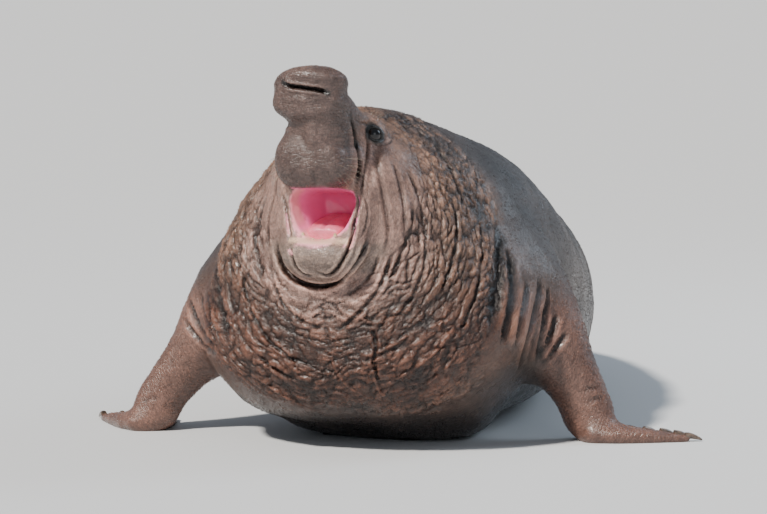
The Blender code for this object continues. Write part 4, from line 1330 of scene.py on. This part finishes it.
def peg_tree():
    tree = bpy.data.node_groups.new("tapered_pegs", "GeometryNodeTree")
    for label, kind in PEG_INPUTS.items():
        tree.interface.new_socket(label, in_out="INPUT", socket_type="NodeSocket" + kind)
    tree.interface.new_socket("Pegs", in_out="OUTPUT", socket_type="NodeSocketGeometry")
    entry = tree.nodes.new("NodeGroupInput").outputs
    curves = put(tree, "GeometryNodeMeshToCurve", Mesh=entry["Lines"]).outputs[0]
    along = tree.nodes.new("GeometryNodeSplineParameter").outputs["Factor"]
    worn = calculate(tree, "POWER", along, entry["Taper"])
    shrink = calculate(tree, "MULTIPLY", worn, calculate(tree, "SUBTRACT", 1.0, entry["Blunt"]))
    left = calculate(tree, "SUBTRACT", 1.0, shrink)
    size = calculate(tree, "MULTIPLY", entry["Thickness"], left)
    chance = put(tree, "FunctionNodeRandomValue", {"data_type": "FLOAT"}, _2=-1.0, _3=1.0,
                 Seed=entry["Seed"])
    uneven = calculate(tree, "MULTIPLY", chance.outputs[1], entry["Unevenness"])
    size = calculate(tree, "MULTIPLY", size, calculate(tree, "ADD", 1.0, uneven))
    ring = put(tree, "GeometryNodeCurvePrimitiveCircle", Resolution=entry["Sides"], Radius=1.0)
    swept = put(tree, "GeometryNodeCurveToMesh", Curve=curves, Profile_Curve=ring.outputs[0],
                Scale=size, Fill_Caps=True)
    whole = put(tree, "GeometryNodeRealizeInstances", Geometry=swept.outputs[0]).outputs[0]
    made = put(tree, "GeometryNodeSetMaterial", Geometry=whole, Material=entry["Horn"])
    tree.links.new(made.outputs[0], tree.nodes.new("NodeGroupOutput").inputs[0])
    return tree


tapered_pegs = peg_tree()


def pegs(name, lines, slot, **inputs):
    """Lines of places become one mesh of tapered pegs that rides on the animal."""
    points, edges = [], []
    for line in lines:
        edges += [(len(points) + i, len(points) + i + 1) for i in range(len(line) - 1)]
        points += [tuple(p) for p in line]
    mesh = bpy.data.meshes.new(name)
    mesh.from_pydata(points, edges, [])
    source = add_object(name + "_lines", mesh)
    sweep = source.modifiers.new("sweep", "NODES")
    sweep.node_group = tapered_pegs
    for socket in tapered_pegs.interface.items_tree:
        if socket.in_out == "INPUT" and socket.name in inputs:
            sweep[socket.identifier] = inputs[socket.name]
    made = evaluated(source)
    builder = bmesh.new()
    builder.from_mesh(made)
    bmesh.ops.remove_doubles(builder, verts=builder.verts, dist=1e-6)
    bmesh.ops.recalc_face_normals(builder, faces=builder.faces)
    builder.to_mesh(made)
    builder.free()
    places = read_points(made)
    places[:, 2] = np.maximum(places[:, 2], FLOOR_GAP)
    write_points(made, places)
    made.shade_smooth()
    piece = add_object(name, made)
    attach(piece, "root")
    print(name, "has", len(lines), "pegs in", len(made.polygons), "faces")
    return piece


def bent_line(root, tip, sag, steps=6):
    """Places from root to tip, pushed by sag in the middle."""
    root, tip, sag = (np.array(v, float) for v in (root, tip, sag))
    return [root + (tip - root) * t + sag * 4 * t * (1 - t) for t in np.linspace(0, 1, steps)]


# %% [markdown]
# Ivory, nail and whisker are one stained horn in three pairs of colours.

# %% Horn materials
def horn_material(name, pale, dark, size, roughness):
    material, tree, shader = new_material(name)
    stain = noise(tree, object_place(tree), Scale=size, Detail=5.0, Roughness=0.6)
    colour = blend_colour(tree, remap(tree, stain, 0.35, 0.65), dark, pale)
    connect(tree, shader, Base_Color=colour, Normal=bumped(tree, stain, 0.4, 0.0006),
            Roughness=roughness, Coat_Weight=0.3)
    return material


IVORY_TONES = ((0.74, 0.62, 0.42, 1), (0.46, 0.30, 0.14, 1))
NAIL_TONES = ((0.16, 0.11, 0.08, 1), (0.030, 0.022, 0.018, 1))
WHISKER_TONES = ((0.42, 0.34, 0.26, 1), (0.16, 0.11, 0.08, 1))
ivory = horn_material("worn_ivory", *IVORY_TONES, 90.0, 0.28)
dark_horn = horn_material("dark_horn", *NAIL_TONES, 70.0, 0.35)
whisker_horn = horn_material("whisker_horn", *WHISKER_TONES, 60.0, 0.35)

# %% [markdown]
# The lower canines stand at the corners of the chin's lip, worn short, with small incisors
# between them.

# %% Set the teeth
LIP_HEIGHT = 0.832
# Each tooth of a pair: how far out, how far ahead, and how high over the lip.
CANINES = ((0.060, -0.838, 0.030),)
INCISORS = ((0.017, -0.852, 0.010), (0.037, -0.848, 0.009))


def tooth_lines(teeth):
    lines = []
    for out, ahead, height in teeth:
        for side in (1, -1):
            root = (side * out, ahead, LIP_HEIGHT - 0.030)
            tip = (side * out * 1.08, ahead - 0.004, LIP_HEIGHT + height)
            lines.append(bent_line(root, tip, (0, 0.003, 0)))
    return lines


pegs("canines", tooth_lines(CANINES), "skin", Thickness=0.012, Blunt=0.42, Taper=2.2,
     Sides=16, Unevenness=0.04, Seed=3, Horn=ivory)
pegs("incisors", tooth_lines(INCISORS), "skin", Thickness=0.0058, Blunt=0.6, Taper=2.0,
     Sides=12, Unevenness=0.04, Seed=4, Horn=ivory)

# %% [markdown]
# A nail sits on the tip of each of the five digits of a hand. The hands and digits are given
# by the same few measures as in the solids, so that the nails meet them.

# %% Set the nails
# Each hand: where its wrist is on the floor, and its angle; each digit: across, turn, length.
HANDS = {1: (0.82, 0.03, 38), -1: (-0.96, -0.27, 58)}
DIGITS = (
    (-0.080, -9, 0.36), (-0.042, -3, 0.34), (-0.004, 3, 0.31), (0.034, 10, 0.27),
    (0.070, 18, 0.23),
)
NAIL_LENGTH = 0.044


def digit_line(side, across, turn):
    """Where a digit starts on the floor and the way it points, as in the solids."""
    x, y, angle = HANDS[side]
    angle, turn = math.radians(angle), math.radians(turn)
    out = np.array((side * math.cos(angle), math.sin(angle), 0))
    over = np.array((-side * math.sin(angle), math.cos(angle), 0))
    return np.array((x, y, 0)) + over * across, out * math.cos(turn) + over * math.sin(turn)


nails = []
for side in HANDS:
    for across, turn, length in DIGITS:
        start, way = digit_line(side, across, turn)
        root = start + way * (length - 0.55 * NAIL_LENGTH) + (0, 0, 0.025)
        tip = start + way * (length + NAIL_LENGTH) + (0, 0, 0.006)
        nails.append(bent_line(root, tip, (0, 0, 0.004)))
pegs("nails", nails, "flipper_skin", Thickness=0.0125, Blunt=0.25, Taper=2.0,
     Sides=14, Unevenness=0.03, Seed=5, Horn=dark_horn)

# %% [markdown]
# The whiskers spring in rows from the sides of the muzzle, sweep out and back, and droop.
# A few short ones stand above each eye.

# %% Plant the whiskers
WHISKER_ROWS = (1.075, 1.098, 1.121, 1.144)
ABOVE_EYE = 0.052
skin_now = skin_tree()
whiskers = []
for side in (1, -1):
    for number, height in enumerate(WHISKER_ROWS):
        for step in range(5):
            across = side * (0.115 + 0.008 * step) - 0.018
            wish = Vector((across, -0.925 + 0.030 * step + 0.006 * number, height))
            root, normal, _, _ = skin_now.find_nearest(wish)
            root, normal = np.array(root), np.array(normal)
            length = random.uniform(0.030, 0.062) * (0.75 + 0.1 * step)
            way = normal * 0.8 + np.array((side * 0.55, 0.45, -0.25)) + random.normal(0, 0.12, 3)
            way /= np.linalg.norm(way)
            tip = root + way * length + (0, 0.25 * length, -0.30 * length)
            whiskers.append(bent_line(root - normal * 0.004, tip, (0, 0, 0.10 * length)))
    above = np.array(EYE_CENTRES["eye_left" if side > 0 else "eye_right"]) + (0, 0, ABOVE_EYE)
    for step in range(4):
        wish = Vector(above + (side * 0.014 * (step - 1.5), 0.0, 0.003 * step))
        root, normal, _, _ = skin_now.find_nearest(wish)
        root, normal = np.array(root), np.array(normal)
        tip = root + normal * 0.030 + np.array((side * 0.012, 0.02, 0.004)) + random.normal(0, 0.004, 3)
        whiskers.append(bent_line(root - normal * 0.003, tip, (0, 0, 0.004)))
pegs("whiskers", whiskers, "skin", Thickness=0.00065, Blunt=0.15, Taper=1.0,
     Sides=6, Unevenness=0.05, Seed=6, Horn=whisker_horn)

# %% [markdown]
# ## Floor and light
#
# The floor reaches so far that its edge lies above the picture. The key is a soft warm sun
# from high in front, on the left of the picture, which lights the floor evenly. A weak fill,
# a cool rim from behind on the right and a pale room go with it.

# %% Lay the floor and hang the lights
FLOOR_HALF = 170.0
KEY_POWER = 6.4
floor_mesh = bpy.data.meshes.new("floor")
corners = [(FLOOR_HALF * x, FLOOR_HALF * y, 0) for x, y in ((-1, -1), (1, -1), (1, 1), (-1, 1))]
floor_mesh.from_pydata(corners, [], [(0, 1, 2, 3)])
floor_mesh.update()
floor_look, floor_tree, floor_shader = new_material("pale_floor")
connect(floor_tree, floor_shader, Base_Color=(0.62, 0.63, 0.64, 1), Roughness=0.75)
floor_mesh.materials.append(floor_look)
floor = add_object("floor", floor_mesh)


def hang(name, data, place, aim, power, colour):
    data.energy = power
    data.color = colour
    light = add_object(name, data)
    light.location = place
    light.rotation_euler = (Vector(aim) - Vector(place)).to_track_quat("-Z", "Y").to_euler()


def area_light(name, place, aim, size, power, colour):
    data = bpy.data.lights.new(name, "AREA")
    data.size = size
    hang(name, data, place, aim, power, colour)


key = bpy.data.lights.new("key", "SUN")
key.angle = math.radians(5)
hang("key", key, (-2.6, -7.8, 8.6), (0, -0.4, 0.8), KEY_POWER, (1.0, 0.95, 0.88))
area_light("rim", (5.5, 5.0, 5.0), (0.1, 0.3, 0.8), 3.5, 260, (0.72, 0.86, 1.0))
area_light("fill", (6.5, -8.0, 3.5), (0, -0.3, 0.6), 5.0, 130, (0.92, 0.96, 1.0))
world = bpy.data.worlds.new("room")
world.use_nodes = True
sky = world.node_tree.nodes["Background"]
connect(world.node_tree, sky, Color=(0.80, 0.88, 1.0, 1), Strength=0.38)
bpy.context.scene.world = world
print("lit")
